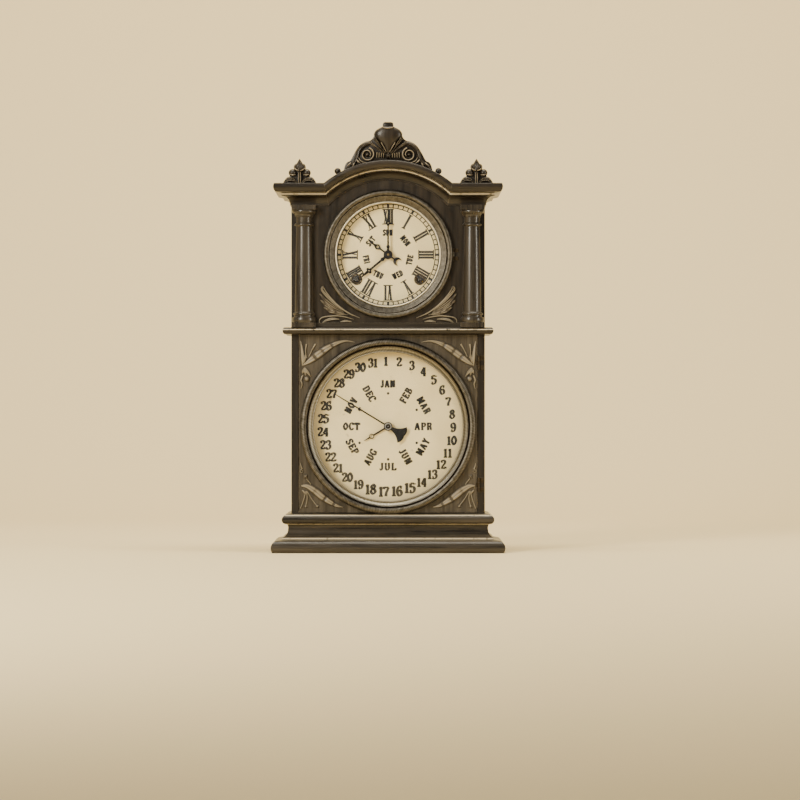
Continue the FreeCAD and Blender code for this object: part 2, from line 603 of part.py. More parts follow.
def mainsprings():
    """Two coiled steel strips, each a closed spiral band about its winding arbor."""
    made = []
    for x, z in (TIME_DRUM, STRIKE_DRUM):
        hand = 1 if x > 0 else -1
        turns, steps, r0, r1, thick = 7, 24, DRUM_R + 0.1, 28.0, 0.8
        n = turns * steps
        inner, outer = [], []
        for k in range(n + 1):
            r = r0 + (r1 - r0) * k / n
            a = hand * 2 * math.pi * k / steps
            inner.append((x + r * math.cos(a), z + r * math.sin(a)))
            outer.append((x + (r + thick) * math.cos(a), z + (r + thick) * math.sin(a)))
        made.append(plate(inner + outer[::-1], -8.0, 9.0))
    return made


def winding_arbor(at):
    """The squared winding arbor with its ratchet wheel."""
    x, z = at
    body = arbor(DRUM_R, -24.0, BACK_PLATE[1] + 1.0, at)
    square = block(x - 2.0, x + 2.0, -32.4, -24.0, z - 2.0, z + 2.0)
    points = []
    for k in range(20):
        points.append(polar(x, z, 10.0, 18 * k))
        points.append(polar(x, z, 8.4, 18 * k + 2.5))
    ratchet = plate(points, 21.4, 22.6).cut(rod_y(DRUM_R, 20, 24, x, z))
    return body.fuse(square).removeSplitter(), ratchet


def great_wheel(at):
    return gear(GREAT_T, GREAT_M, 18.0, 20.0, *at, DRUM_R + FIT, 0.0, 5)


def second_wheel():
    pinion = gear(SECOND_P, GREAT_M, 16.5, 21.5, *SECOND, WHEEL_R, SECOND_P_PHASE)
    wheel = gear(SECOND_T, SECOND_M, 12.0, 13.5, *SECOND, WHEEL_R, 0.0, 4)
    return on_arbor(WHEEL_R, -12.6, 28.2, SECOND, pinion, wheel)


def centre_wheel():
    pinion = gear(CENTRE_P, SECOND_M, 10.5, 15.0, *CENTRE, CENTRE_R, CENTRE_P_PHASE)
    wheel = gear(CENTRE_T, CENTRE_M, 5.0, 6.4, *CENTRE, CENTRE_R, 0.0, 4)
    return on_arbor(CENTRE_R, -39.0, 28.2, CENTRE, pinion, wheel)


def third_wheel():
    pinion = gear(THIRD_P, CENTRE_M, 3.8, 7.8, *THIRD, FINE_R, THIRD_P_PHASE)
    wheel = gear(THIRD_T, THIRD_M, -1.0, 0.3, *THIRD, FINE_R, 0.0, 4)
    return on_arbor(FINE_R, -12.6, 28.2, THIRD, pinion, wheel)


def escape_wheel():
    pinion = gear(ESCAPE_P, THIRD_M, -2.2, 1.6, *ESCAPE, FINE_R, ESCAPE_P_PHASE)
    points = []
    for k in range(ESCAPE_T):
        points.append(polar(*ESCAPE, ESCAPE_R, 360 * k / ESCAPE_T))
        points.append(polar(*ESCAPE, ESCAPE_R - 1.6, 360 * (k + 0.35) / ESCAPE_T))
    wheel = plate(points, 10.0, 11.2).cut(polygon_bore(FINE_R, 9, 12, *ESCAPE))
    for k in range(4):
        window = [polar(*ESCAPE, 4.0, 90 * k + 45), polar(*ESCAPE, 12.2, 90 * k + 12),
                  polar(*ESCAPE, 12.2, 90 * k + 45), polar(*ESCAPE, 12.2, 90 * k + 78)]
        wheel = wheel.cut(plate(window, 9, 12))
    return on_arbor(FINE_R, -12.6, 28.2, ESCAPE, pinion, wheel)


PENDULUM_Y, PENDULUM_R = 38.0, 1.2
BOB_Z = VERGE[1] - 249.0


def verge():
    """The anchor, with its two pallets standing clear of the wheel's tips, and the crutch behind."""
    x, z = VERGE
    reach = ESCAPE_R + 1.8
    tip = polar(*ESCAPE, reach, 48)
    heel = polar(*ESCAPE, reach + 3.4, 51)
    right = [(x, z + 2.2), heel, tip, polar(*ESCAPE, reach, 56), (x, z - 2.2)]
    left = [(-a, b) for a, b in right[1:-1]]
    anchor = plate(right + left[::-1], 10.0, 11.2).cut(rod_y(FINE_R, 9, 12, x, z))
    low = z - 62
    crutch = block(-1.6, 1.6, 29.6, 31.0, low, z + 2.4).cut(rod_y(FINE_R, 28, 32, x, z))
    fork = block(-2.6, 2.6, 29.6, 41.5, low, low + 3.0)
    fork = fork.cut(block(-1.6, 1.6, 33.0, 42.0, low - 1, low + 4))
    crutch = crutch.fuse(fork).removeSplitter()
    return arbor(FINE_R, -12.6, 31.4, VERGE), anchor, crutch


def pendulum():
    """Suspension spring, rod, lens bob and rating nut."""
    y = PENDULUM_Y
    spring = block(-0.15, 0.15, y - 1.5, y + 1.5, VERGE[1] - 18, VERGE[1] + 2.8)
    rod = rod_z(PENDULUM_R, BOB_Z - 34, VERGE[1] - 18, 0, y)
    rim = 24.0
    lens = [(0, y - 4.6), (rim, y - 0.5, rim * 0.62, y - 3.4), (rim, y + 0.5), (0, y + 4.6, rim * 0.62, y + 3.4)]
    bob = lathe_y(lens, BOB_Z).cut(rod_z(PENDULUM_R, BOB_Z - 40, BOB_Z + 40, 0, y))
    nut = rod_z(3.4, BOB_Z - 29, BOB_Z - 25.2, 0, y).cut(rod_z(PENDULUM_R, BOB_Z - 40, BOB_Z, 0, y))
    return spring, rod, bob, nut


def pin_wheel():
    pinion = gear(SECOND_P, GREAT_M, 16.5, 21.5, *PIN_WHEEL, WHEEL_R, PIN_P_PHASE)
    wheel = gear(SECOND_T, SECOND_M, 12.0, 13.5, *PIN_WHEEL, WHEEL_R, 0.0, 4)
    pins = [rod_y(0.7, 9.5, 12.0, *polar(*PIN_WHEEL, 17.6, 45 * k)) for k in range(8)]
    return on_arbor(WHEEL_R, -12.6, 28.2, PIN_WHEEL, pinion, wheel, *pins)


def fly():
    pinion = gear(FLY_P, SECOND_M, 10.5, 15.0, *FLY, FINE_R, FLY_P_PHASE)
    x, z = FLY
    vane = block(x - 12, x + 12, -7, 7, z - 0.4, z + 0.4).fuse(rod_y(1.8, -7, 7, x, z))
    vane = vane.cut(rod_y(FINE_R, -8, 8, x, z))
    return on_arbor(FINE_R, -12.6, 28.2, FLY, pinion, vane)


GONG_AT, GONG_Y = (0.0, 122.0), 53.0
HAMMER_Y, HAMMER_HEAD_Z = 46.0, 128.0


def hammer():
    """Arbor, a wire that leans out to the left on its way down, and a head beside the gong."""
    x, z = HAMMER
    post = arbor(WHEEL_R, -12.6, HAMMER_Y + 2.0, HAMMER)
    head_x = -59.5
    a, b = V(x, HAMMER_Y, z), V(head_x, HAMMER_Y, HAMMER_HEAD_Z)
    wire_rod = Part.makeCylinder(1.1, a.distanceToPoint(b), a, b - a)
    boss = rod_y(3.2, HAMMER_Y - 2.0, HAMMER_Y + 2.0, x, z)
    head = Part.makeCylinder(5.0, 14.0, V(head_x - 7, HAMMER_Y + 4, HAMMER_HEAD_Z), V(1, 0, 0))
    return post.fuse(boss).fuse(wire_rod).fuse(head).removeSplitter()


def gong():
    """A coiled steel wire gong on a cast block that is screwed to the back board."""
    cx, cz = GONG_AT
    n, turns, r0, r1, half = 24, 4, 9.0, 48.0, 1.3
    steps = n * turns
    inner, outer = [], []
    for k in range(steps + 1):
        r = r0 + (r1 - r0) * k / steps
        a = 2 * math.pi * k / n + math.pi
        inner.append((cx + (r - half) * math.cos(a), cz + (r - half) * math.sin(a)))
        outer.append((cx + (r + half) * math.cos(a), cz + (r + half) * math.sin(a)))
    coil = plate(inner + outer[::-1], GONG_Y - half, GONG_Y + half)
    stem = block(cx - r0 - half, cx + 3, GONG_Y - half, INNER_BACK, cz - 4, cz + 4)
    foot = block(cx - 15, cx + 15, INNER_BACK - 4, INNER_BACK, cz - 30, cz + 30)
    return coil.fuse(stem).fuse(foot).removeSplitter()


# ---- motion work --------------------------------------------------------------------------------------
MINUTE_T_PHASE = in_mesh(0, CANNON_P, MINUTE_T, 0.0)
HOUR_T_PHASE = in_mesh(0, MINUTE_P, HOUR_T, math.pi)
IDLER_T_PHASE = in_mesh(0, HOUR_P, IDLER_T, math.pi)
DAY_T_PHASE = in_mesh(0, IDLER_P, DAY_T, 0.0)


def cannon_pinion():
    """The cannon pipe grips the centre arbor with friction, so that the hands can be set; a round nut
    holds the minute hand on it."""
    pipe = ring_y(CANNON_R, CENTRE_R + FIT, -37.8, -13.5, *CENTRE)
    pinion = gear(CANNON_P, MINUTE_M, -17.0, -13.5, *CENTRE, CANNON_R, 0.0)
    nut = ring_y(3.0, CENTRE_R + FIT, -38.8, -37.8, *CENTRE)
    return pipe, pinion, nut


def minute_wheel():
    wheel = gear(MINUTE_T, MINUTE_M, -16.0, -14.5, *MINUTE_STUD, STUD_R + FIT, MINUTE_T_PHASE)
    pinion = gear(MINUTE_P, HOUR_M, -21.0, -16.0, *MINUTE_STUD, STUD_R + FIT, 0.0)
    return wheel, pinion


def hour_wheel():
    wheel = gear(HOUR_T, HOUR_M, -20.0, -18.5, *CENTRE, HOUR_PIPE_R, HOUR_T_PHASE)
    pinion = gear(HOUR_P, IDLER_M, -23.5, -20.0, *CENTRE, HOUR_PIPE_R, 0.0)
    return ring_y(HOUR_PIPE_R, CANNON_R + FIT, -35.6, -18.5, *CENTRE), wheel, pinion


def day_idler():
    wheel = gear(IDLER_T, IDLER_M, -22.8, -21.4, *IDLER_STUD, STUD_R + FIT, IDLER_T_PHASE)
    pinion = gear(IDLER_P, DAY_M, -28.0, -22.8, *IDLER_STUD, STUD_R + FIT, 0.0)
    return wheel, pinion


def day_wheel():
    wheel = gear(DAY_T, DAY_M, -27.0, -25.5, *CENTRE, DAY_PIPE_R, DAY_T_PHASE)
    return ring_y(DAY_PIPE_R, HOUR_PIPE_R + FIT, -33.4, -25.5, *CENTRE), wheel


# ---- calendar work ------------------------------------------------------------------------------------
MONTH_IDLER_PHASE = in_mesh(0, CANNON_P, MINUTE_T, 0.0)
MONTH_T_PHASE = in_mesh(0, MINUTE_P, HOUR_T, math.pi)


def calendar_plates():
    """The two calendar plates with their pillars, the stud of the month work, and two guides that keep
    the lifting rod upright."""
    x, h = CAL_HALF_W, CAL_HALF_H
    front = bored(block(-x, x, *CAL_FRONT_PLATE, CAL_Z - h, CAL_Z + h), DATE_R + FIT, CAL_CENTRE)
    back = bored(block(-42, 42, *CAL_BACK_PLATE, CAL_Z - h, CAL_Z + h), DATE_R + FIT, CAL_CENTRE)
    made = [front, back]
    for sx in (-1, 1):
        for sz in (-1, 1):
            at = (36 * sx, CAL_Z + 28 * sz)
            made.append(rod_y(3.0, CAL_FRONT_PLATE[1], CAL_BACK_PLATE[0], *at))
    made.append(rod_y(STUD_R, -25.2, CAL_FRONT_PLATE[0], *CAL_STUD))
    hole = rod_z(LIFT_ROD_R + FIT, 150, 330, LIFT_ROD_X, LIFT_ROD_Y)
    low = block(LIFT_ROD_X - 4, LIFT_ROD_X + 4, CAL_FRONT_PLATE[1], LIFT_ROD_Y + 4,
                LIFT_GUIDE_Z - 3, LIFT_GUIDE_Z)
    high = rod_z(7.0, BELT_TOP, BELT_TOP + 3, LIFT_ROD_X, LIFT_ROD_Y)
    return made + [low.cut(hole), high.cut(hole)]


def date_wheel():
    """The date arbor, its 31-tooth star wheel, the pinion that drives the month work, and a front nut."""
    teeth = []
    for k in range(31):
        a = 360 * k / 31
        teeth.append(polar(*CAL_CENTRE, 25.6, a))
        teeth.append(polar(*CAL_CENTRE, 22.8, a + 2.5))
    star = plate(teeth, -7.0, -5.0).cut(rod_y(DATE_R, -8, -4, *CAL_CENTRE))
    pinion = gear(CANNON_P, MINUTE_M, -21.0, -18.6, *CAL_CENTRE, DATE_R, 0.0)
    nut = ring_y(5.8, DATE_R, -34.4, -33.0, *CAL_CENTRE)
    return rod_y(DATE_R, -34.8, 10.2, *CAL_CENTRE), star, pinion, nut


def month_idler():
    wheel = gear(MINUTE_T, MINUTE_M, -20.4, -19.2, *CAL_STUD, STUD_R + FIT, MONTH_IDLER_PHASE)
    pinion = gear(MINUTE_P, HOUR_M, -24.6, -20.4, *CAL_STUD, STUD_R + FIT, 0.0)
    return wheel, pinion


def month_wheel():
    wheel = gear(HOUR_T, HOUR_M, -24.0, -22.8, *CAL_CENTRE, MONTH_PIPE_R, MONTH_T_PHASE)
    return ring_y(MONTH_PIPE_R, DATE_R + FIT, -30.6, -22.8, *CAL_CENTRE), wheel


def lift_rod():
    """The wire that advances the calendar, with a finger beside the star wheel."""
    rod = rod_z(LIFT_ROD_R, CAL_Z - 8, 336, LIFT_ROD_X, LIFT_ROD_Y)
    finger = block(26.4, LIFT_ROD_X, -6.8, -5.2, CAL_Z + 1, CAL_Z + 3)
    return rod.fuse(finger).removeSplitter()


# ---- hands --------------------------------------------------------------------------------------------
def strip_hand(stations, y_span, z):
    """A flat hand that points up from a centre at height z: (distance, half width) stations."""
    right = [(w, z + r) for r, w in stations]
    left = [(-w, z + r) for r, w in reversed(stations) if w > 0]
    return plate(right + left, *y_span)


def finished_hand(parts, holes, bore, z, degrees, y_span):
    hand = parts[0]
    for extra in parts[1:]:
        hand = hand.fuse(extra)
    for hole in holes:
        hand = hand.cut(hole)
    hand = hand.cut(rod_y(bore, y_span[0] - 1, y_span[1] + 1, 0, z)).removeSplitter()
    return turned(hand, degrees, 0, z)


def cross_of(r, spread, lobe, y_span, z):
    """Four small lobes round a point at distance r along the hand."""
    at = z + r
    return [rod_y(lobe, *y_span, dx, at + dz)
            for dx, dz in ((spread, 0), (-spread, 0), (0, spread), (0, -spread))]


def drop(y_span, hole_r, x, z):
    return rod_y(hole_r, y_span[0] - 1, y_span[1] + 1, x, z)


def minute_hand():
    y, z = MINUTE_HAND_Y, TIME_Z
    stem = strip_hand([(5.0, 2.0), (10.0, 1.3), (38.0, 1.0), (45.0, 1.4), (52.0, 1.2), (66.6, 0.35)], y, z)
    parts = [rod_y(6.0, *y, 0, z), stem, rod_y(2.4, *y, 0, z + 10.7)] + cross_of(42.8, 2.2, 1.8, y, z)
    return finished_hand(parts, [drop(y, 0.8, 0, z + 42.8)], CANNON_R, z, 0, y)


def hour_hand():
    y, z = HOUR_HAND_Y, TIME_Z
    stem = strip_hand([(5.0, 2.2), (9.0, 1.5), (30.0, 1.3), (37.0, 1.9), (42.0, 1.5), (50.3, 0.4)], y, z)
    parts = [rod_y(6.1, *y, 0, z), stem, rod_y(2.6, *y, 0, z + 10.0)] + cross_of(34.0, 2.6, 1.9, y, z)
    return finished_hand(parts, [drop(y, 0.8, 0, z + 34.0)], HOUR_PIPE_R, z, HOUR_AT, y)


def weekday_hand():
    y, z = WEEKDAY_HAND_Y, TIME_Z
    stem = strip_hand([(-14.0, 1.0), (10.0, 1.0), (13.6, 1.2), (18.0, 4.0), (23.0, 1.3), (33.0, 0.35)], y, z)
    horn = rod_y(5.6, *y, 0, z - 15.4).cut(drop(y, 4.2, 0, z - 18.4))
    return finished_hand([rod_y(6.2, *y, 0, z), stem, horn], [drop(y, 1.7, 0, z + 18.0)], DAY_PIPE_R, z,
                         WEEKDAY_AT, y)


def date_hand():
    y, z = DATE_HAND_Y, CAL_Z
    stem = strip_hand([(4.0, 1.0), (44.6, 0.9), (45.2, 2.6), (46.8, 2.6), (47.4, 0.9), (80.0, 0.6),
                       (85.6, 0.3)], y, z)
    fan = [(-2.2, z - 4.0), (2.2, z - 4.0), (12.4, z - 22.2, 5.4, z - 14.6), (0, z - 25.4, 6.8, z - 25.8),
           (-12.4, z - 22.2, -6.8, z - 25.8), (-2.2, z - 4.0, -5.4, z - 14.6)]
    return finished_hand([rod_y(5.6, *y, 0, z), stem, plate(fan, *y)], [], DATE_R, z, DATE_AT, y)


def month_hand():
    y, z = MONTH_HAND_Y, CAL_Z
    stem = strip_hand([(4.0, 1.2), (23.2, 1.0), (29.2, 1.1), (38.4, 0.35)], y, z)
    parts = [rod_y(5.4, *y, 0, z), stem, rod_y(3.5, *y, 0, z + 26.2)]
    return finished_hand(parts, [drop(y, 2.3, 0, z + 26.2)], MONTH_PIPE_R, z, MONTH_AT, y)


# ---- hinges, catches and screws -----------------------------------------------------------------------
HINGE_Y, KNUCKLE_R, PIN_R = -45.2, 1.8, 0.8
DOOR_HINGE_X, BEZEL_HINGE_X = 123.0, 88.6
DOOR_HINGES = (92.0, 258.0)
KNUCKLE_GAP = 0.1


def knuckle(x, z0, z1, leaf_x, bore):
    """One barrel of a butt hinge with its part of the leaf, lying on the front plane."""
    barrel = rod_z(KNUCKLE_R, z0, z1, x, HINGE_Y)
    leaf = block(min(x, leaf_x), max(x, leaf_x), CASE_FRONT - 1.0, CASE_FRONT, z0, z1)
    return barrel.fuse(leaf).removeSplitter().cut(rod_z(bore, z0 - 1, z1 + 1, x, HINGE_Y))


def case_hardware():
    """The fixed knuckles and pins of all three hinges, the friction clip of the time bezel and the stop
    behind the door's free edge."""
    made = []
    for z, half in ((DOOR_HINGES[0], 10), (DOOR_HINGES[1], 10)):
        for z0, z1 in ((z - half, z - half / 3), (z + half / 3, z + half)):
            made.append(knuckle(DOOR_HINGE_X, z0, z1, DOOR_HINGE_X + 7, PIN_R))
        made.append(rod_z(PIN_R, z - half, z + half, DOOR_HINGE_X, HINGE_Y))
    for z0, z1 in ((TIME_Z - 8, TIME_Z - 3), (TIME_Z + 3, TIME_Z + 8)):
        made.append(knuckle(BEZEL_HINGE_X, z0, z1, BEZEL_HINGE_X + 7, PIN_R))
    made.append(rod_z(PIN_R, TIME_Z - 8, TIME_Z + 8, BEZEL_HINGE_X, HINGE_Y))
    made.append(bezel_clip())
    made.append(block(-INNER_X, -INNER_X + 3.3, PANEL_BACK - 2.4, PANEL_BACK + 3.4, 165.5, 176.5))
    return made


def door_knuckles():
    made = []
    for z in DOOR_HINGES:
        z0, z1 = z - 10 / 3 + KNUCKLE_GAP, z + 10 / 3 - KNUCKLE_GAP
        made.append(knuckle(DOOR_HINGE_X, z0, z1, DOOR_HINGE_X - 3.6, PIN_R + FIT))
    return made


def bezel_knuckle():
    z0, z1 = TIME_Z - 3 + KNUCKLE_GAP, TIME_Z + 3 - KNUCKLE_GAP
    barrel = rod_z(KNUCKLE_R, z0, z1, BEZEL_HINGE_X, HINGE_Y)
    lug = block(TIME_RIM - 0.2, BEZEL_HINGE_X, HINGE_Y - 1.0, HINGE_Y + 1.6, z0, z1)
    lug = lug.fuse(barrel).removeSplitter().cut(rod_z(PIN_R + FIT, z0 - 1, z1 + 1, BEZEL_HINGE_X, HINGE_Y))
    return lug.cut(lathe_y(bezel(TIME_SIGHT, TIME_RIM, TIME_REBATE, TIME_NECK, 6.2, 9.0), TIME_Z))


def back_screws():
    """Round-headed screws that hold the back board to the two sides."""
    made = []
    for x in (-INNER_X + 6, INNER_X - 6):
        for z in (40.0, 170.0, 300.0, 430.0):
            made.append(rod_y(3.4, CASE_BACK, CASE_BACK + 1.6, x, z))
    return made


def front_rails():
    """The rail behind the base moulding, and the flat strip that the columns' feet stand on."""
    strip = block(-HALF_W, HALF_W, CASE_FRONT - 3.0, CASE_FRONT, BELT_TOP, COLUMN_Z0)
    for x in (-COLUMN_X, COLUMN_X):
        strip = strip.cut(block(x - BLOCK_HALF, x + BLOCK_HALF, CASE_FRONT - 9, CASE_FRONT + 1,
                                BELT_TOP - 1, COLUMN_Z0 + 1))
    return base_rail(), strip


# ---- the nodes ----------------------------------------------------------------------------------------
def main():
    os.makedirs(PARTS, exist_ok=True)
    save("base_moulding", *base_moulding())
    save("front_rails", *front_rails())
    save("bottom_board", bottom_board())
    save("side_boards", side_board(), mirrored(side_board()))
    save("back_board", back_board())
    save("belt_moulding", *belt_moulding())
    save("upper_front_board", upper_front_board())
    save("divider_shelf", divider_shelf())
    save("roof_board", roof_board())
    save("cornice_wings", *cornice_wings())
    save("cornice_arch", cornice_arch())
    save("columns", column(), mirrored(column()), *column_blocks())
    save("crest", *crest())
    save("finials", finial(), mirrored(finial()))
    save("spandrel_leaves", spandrel_leaf(), mirrored(spandrel_leaf()))
    save("calendar_board", calendar_board())
    save("case_hardware", *case_hardware())
    save("back_screws", *back_screws())
    save("time_dial", time_dial())
    save("winding_grommets", *winding_grommets())
    save("calendar_dial", calendar_dial())
    save("door_panel", door_panel())
    save("door_carvings", *door_carvings())
    save("calendar_bezel", *calendar_bezel())
    save("calendar_glass", glass(CAL_REBATE, CAL_Z))
    save("door_knuckles", *door_knuckles())
    save("time_bezel", *time_bezel(), bezel_knuckle())
    save("time_glass", glass(TIME_REBATE, TIME_Z))
    save("minute_hand", minute_hand())
    save("cannon_pinion", *cannon_pinion())
    save("minute_wheel", *minute_wheel())
    save("hour_hand", hour_hand())
    save("hour_wheel", *hour_wheel())
    save("day_idler", *day_idler())
    save("weekday_hand", weekday_hand())
    save("day_wheel", *day_wheel())
    save("movement_plates", *movement_plates())
    save("mainsprings", *mainsprings())
    save("time_great_wheel", great_wheel(TIME_DRUM))
    save("time_winding_arbor", *winding_arbor(TIME_DRUM))
    save("second_wheel", *second_wheel())
    save("centre_wheel", *centre_wheel())
    save("third_wheel", *third_wheel())
    save("escape_wheel", *escape_wheel())
    save("verge", *verge())
    save("pendulum", *pendulum())
    save("strike_great_wheel", great_wheel(STRIKE_DRUM))
    save("strike_winding_arbor", *winding_arbor(STRIKE_DRUM))
    save("pin_wheel", *pin_wheel())
    save("fly", *fly())
    save("hammer", hammer())
    save("gong", gong())
    save("calendar_plates", *calendar_plates())
    save("date_wheel", *date_wheel())
    save("date_hand", date_hand())
    save("month_idler", *month_idler())
    save("month_wheel", *month_wheel())
    save("month_hand", month_hand())
    save("lift_rod", lift_rod())


main()
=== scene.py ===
import bpy
import bmesh
import math
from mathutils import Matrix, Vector


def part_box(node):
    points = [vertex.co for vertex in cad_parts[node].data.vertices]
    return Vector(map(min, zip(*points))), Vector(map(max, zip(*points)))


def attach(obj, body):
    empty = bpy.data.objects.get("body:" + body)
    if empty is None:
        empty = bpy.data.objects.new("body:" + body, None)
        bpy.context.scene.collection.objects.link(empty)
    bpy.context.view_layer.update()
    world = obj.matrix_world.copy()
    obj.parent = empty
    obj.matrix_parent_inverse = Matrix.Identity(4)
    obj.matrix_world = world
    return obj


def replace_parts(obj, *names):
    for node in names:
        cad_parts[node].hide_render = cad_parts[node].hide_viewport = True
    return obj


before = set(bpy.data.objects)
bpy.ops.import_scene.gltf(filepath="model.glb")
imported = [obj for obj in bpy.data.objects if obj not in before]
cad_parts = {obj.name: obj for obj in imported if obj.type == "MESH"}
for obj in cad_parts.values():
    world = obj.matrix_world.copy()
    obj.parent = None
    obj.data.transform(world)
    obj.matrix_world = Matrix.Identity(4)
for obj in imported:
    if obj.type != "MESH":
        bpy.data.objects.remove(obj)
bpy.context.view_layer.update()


# The room: a pale table and wall in one sweep, a long lens square to the clock's front, and soft light
# from the upper left with a weaker fill from the right, as a cabinet maker's shop window would give.
LENS, FILM = 150.0, 36.0
VIEW_WIDTH = 1.088                      # width of the view at the clock's front, in metres
AIM_X, AIM_Z = 0.0162, 0.2074
front_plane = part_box("door_panel")[0][1]
camera_data = bpy.data.cameras.new("front_camera")
camera_data.lens = LENS
camera_data.sensor_width = FILM
camera_data.clip_end = 60.0
camera = bpy.data.objects.new("front_camera", camera_data)
camera.location = (AIM_X, front_plane - VIEW_WIDTH * LENS / FILM, AIM_Z)
camera.rotation_euler = (math.radians(90), 0, 0)
bpy.context.collection.objects.link(camera)
bpy.context.scene.camera = camera


def mesh_piece(name, vertices, faces, smooth=True):
    """A new object from a list of points and faces, smooth shaded by default."""
    mesh = bpy.data.meshes.new(name)
    mesh.from_pydata([tuple(v) for v in vertices], [], faces)
    mesh.update()
    for face in mesh.polygons:
        face.use_smooth = smooth
    made = bpy.data.objects.new(name, mesh)
    bpy.context.collection.objects.link(made)
    return made


class Wiring:
    """The nodes of one material or group, with short calls that add them and join them up."""

    def __init__(self, tree):
        self.nodes, self.links = tree.nodes, tree.links

    def feed(self, socket, value):
        """Sets an input to a constant, or joins another node's output to it."""
        if isinstance(value, (int, float, tuple)):
            socket.default_value = value
        elif value is not None:
            self.links.new(value, socket)

    def add(self, kind, **values):
        node = self.nodes.new("ShaderNode" + kind)
        for name, value in values.items():
            self.feed(node.inputs[name], value)
        return node

    def math(self, operation, *values, clamp=False):
        node = self.add("Math")
        node.operation = operation
        node.use_clamp = clamp
        for socket, value in zip(node.inputs, values):
            self.feed(socket, value)
        return node.outputs[0]

    def mix(self, factor, first, second, blend="MIX"):
        """One colour over another."""
        node = self.add("Mix")
        node.data_type = "RGBA"
        node.blend_type = blend
        for index, value in ((0, factor), (6, first), (7, second)):
            self.feed(node.inputs[index], value)
        return node.outputs[2]

    def band(self, value, low, high):
        """A value spread so that low gives 0 and high gives 1."""
        node = self.add("MapRange")
        self.feed(node.inputs["From Min"], low)
        self.feed(node.inputs["From Max"], high)
        self.feed(node.inputs["Value"], value)
        return node.outputs["Result"]

    def place(self):
        """Where a point of the surface is, in metres."""
        return self.add("TexCoord").outputs["Object"]

    def noise(self, vector, scale, detail=3.0, distortion=0.0):
        return self.add("TexNoise", Scale=scale, Detail=detail, Distortion=distortion,
                        Vector=vector).outputs["Fac"]

    def from_centre(self, height):
        """Distance from a line that runs back at a height, and its two parts, across and up."""
        split = self.add("SeparateXYZ", Vector=self.place())
        across, up = split.outputs["X"], self.math("SUBTRACT", split.outputs["Z"], height)
        squares = self.math("ADD", self.math("MULTIPLY", across, across), self.math("MULTIPLY", up, up))
        return self.math("SQRT", squares), across, up

    def line_mask(self, value, middle, half):
        """1 where a value is within half of the middle of a line."""
        off = self.math("ABSOLUTE", self.math("SUBTRACT", value, middle))
        return self.band(off, half * 1.15, half * 0.85)

    def relief(self, height, strength, distance, normal=None):
        return self.add("Bump", Strength=strength, Distance=distance, Height=height,
                        Normal=normal).outputs["Normal"]

    def group(self, tree, **values):
        node = self.add("Group")
        node.node_tree = tree
        for name, value in values.items():
            node.inputs[name].default_value = value
        return node.outputs


def new_material(name, roughness, metallic=0.0):
    """A material with one Principled shader, its wiring and that shader's inputs."""
    material = bpy.data.materials.new(name)
    material.use_nodes = True
    wire = Wiring(material.node_tree)
    inputs = wire.nodes["Principled BSDF"].inputs
    inputs["Roughness"].default_value = roughness
    inputs["Metallic"].default_value = metallic
    return material, wire, inputs


def sweep_floor():
    """The table top, curving up into a wall well behind the clock."""
    half_width, table_end, wall_top, radius, steps = 9.0, 1.2, 6.0, 1.2, 12
    profile = [(-half_width, 0.0), (table_end, 0.0)]
    for k in range(1, steps + 1):
        a = math.pi / 2 * k / steps
        profile.append((table_end + radius * math.sin(a), radius * (1 - math.cos(a))))
    profile.append((table_end + radius, wall_top))
    vertices = [(x, y, z) for y, z in profile for x in (-half_width, half_width)]
    faces = [(2 * k, 2 * k + 1, 2 * k + 3, 2 * k + 2) for k in range(len(profile) - 1)]
    return mesh_piece("table_sweep", vertices, faces)


sweep = sweep_floor()
pale, wire, inputs = new_material("pale_sweep", 0.85)
mottle = wire.add("TexNoise", Scale=3.0)
tint = wire.add("ValToRGB", Fac=mottle.outputs["Fac"])
tint.color_ramp.elements[0].color = (0.87, 0.705, 0.40, 1)
tint.color_ramp.elements[1].color = (0.91, 0.745, 0.43, 1)
wire.feed(inputs["Base Color"], tint.outputs["Color"])
sweep.data.materials.append(pale)

CLOCK_MIDDLE, WARM = (0.0, 0.0, 0.29), (1.0, 0.93, 0.78)


def soft_lamp(name, place, size, watts, aim=CLOCK_MIDDLE):
    lamp_data = bpy.data.lights.new(name, "AREA")
    lamp_data.shape = "RECTANGLE"
    lamp_data.size, lamp_data.size_y = size
    lamp_data.energy = watts
    lamp_data.color = WARM
    lamp = bpy.data.objects.new(name, lamp_data)
    lamp.location = place
    lamp.rotation_euler = (Vector(aim) - Vector(place)).to_track_quat("-Z", "Y").to_euler()
    bpy.context.collection.objects.link(lamp)


soft_lamp("window_light", (-1.5, -2.1, 1.2), (0.7, 1.2), 78)
soft_lamp("right_fill", (2.2, -1.1, 0.6), (0.4, 1.4), 27)
soft_lamp("top_light", (0.2, 0.2, 2.4), (1.6, 1.6), 14)
soft_lamp("wall_light", (0.0, -0.4, 3.2), (3.0, 1.0), 130, (0.0, 2.4, 0.8))
world = bpy.data.worlds.new("studio")
world.use_nodes = True
world.node_tree.nodes["Background"].inputs["Color"].default_value = (1.0, 0.93, 0.80, 1)
world.node_tree.nodes["Background"].inputs["Strength"].default_value = 0.34
bpy.context.scene.world = world


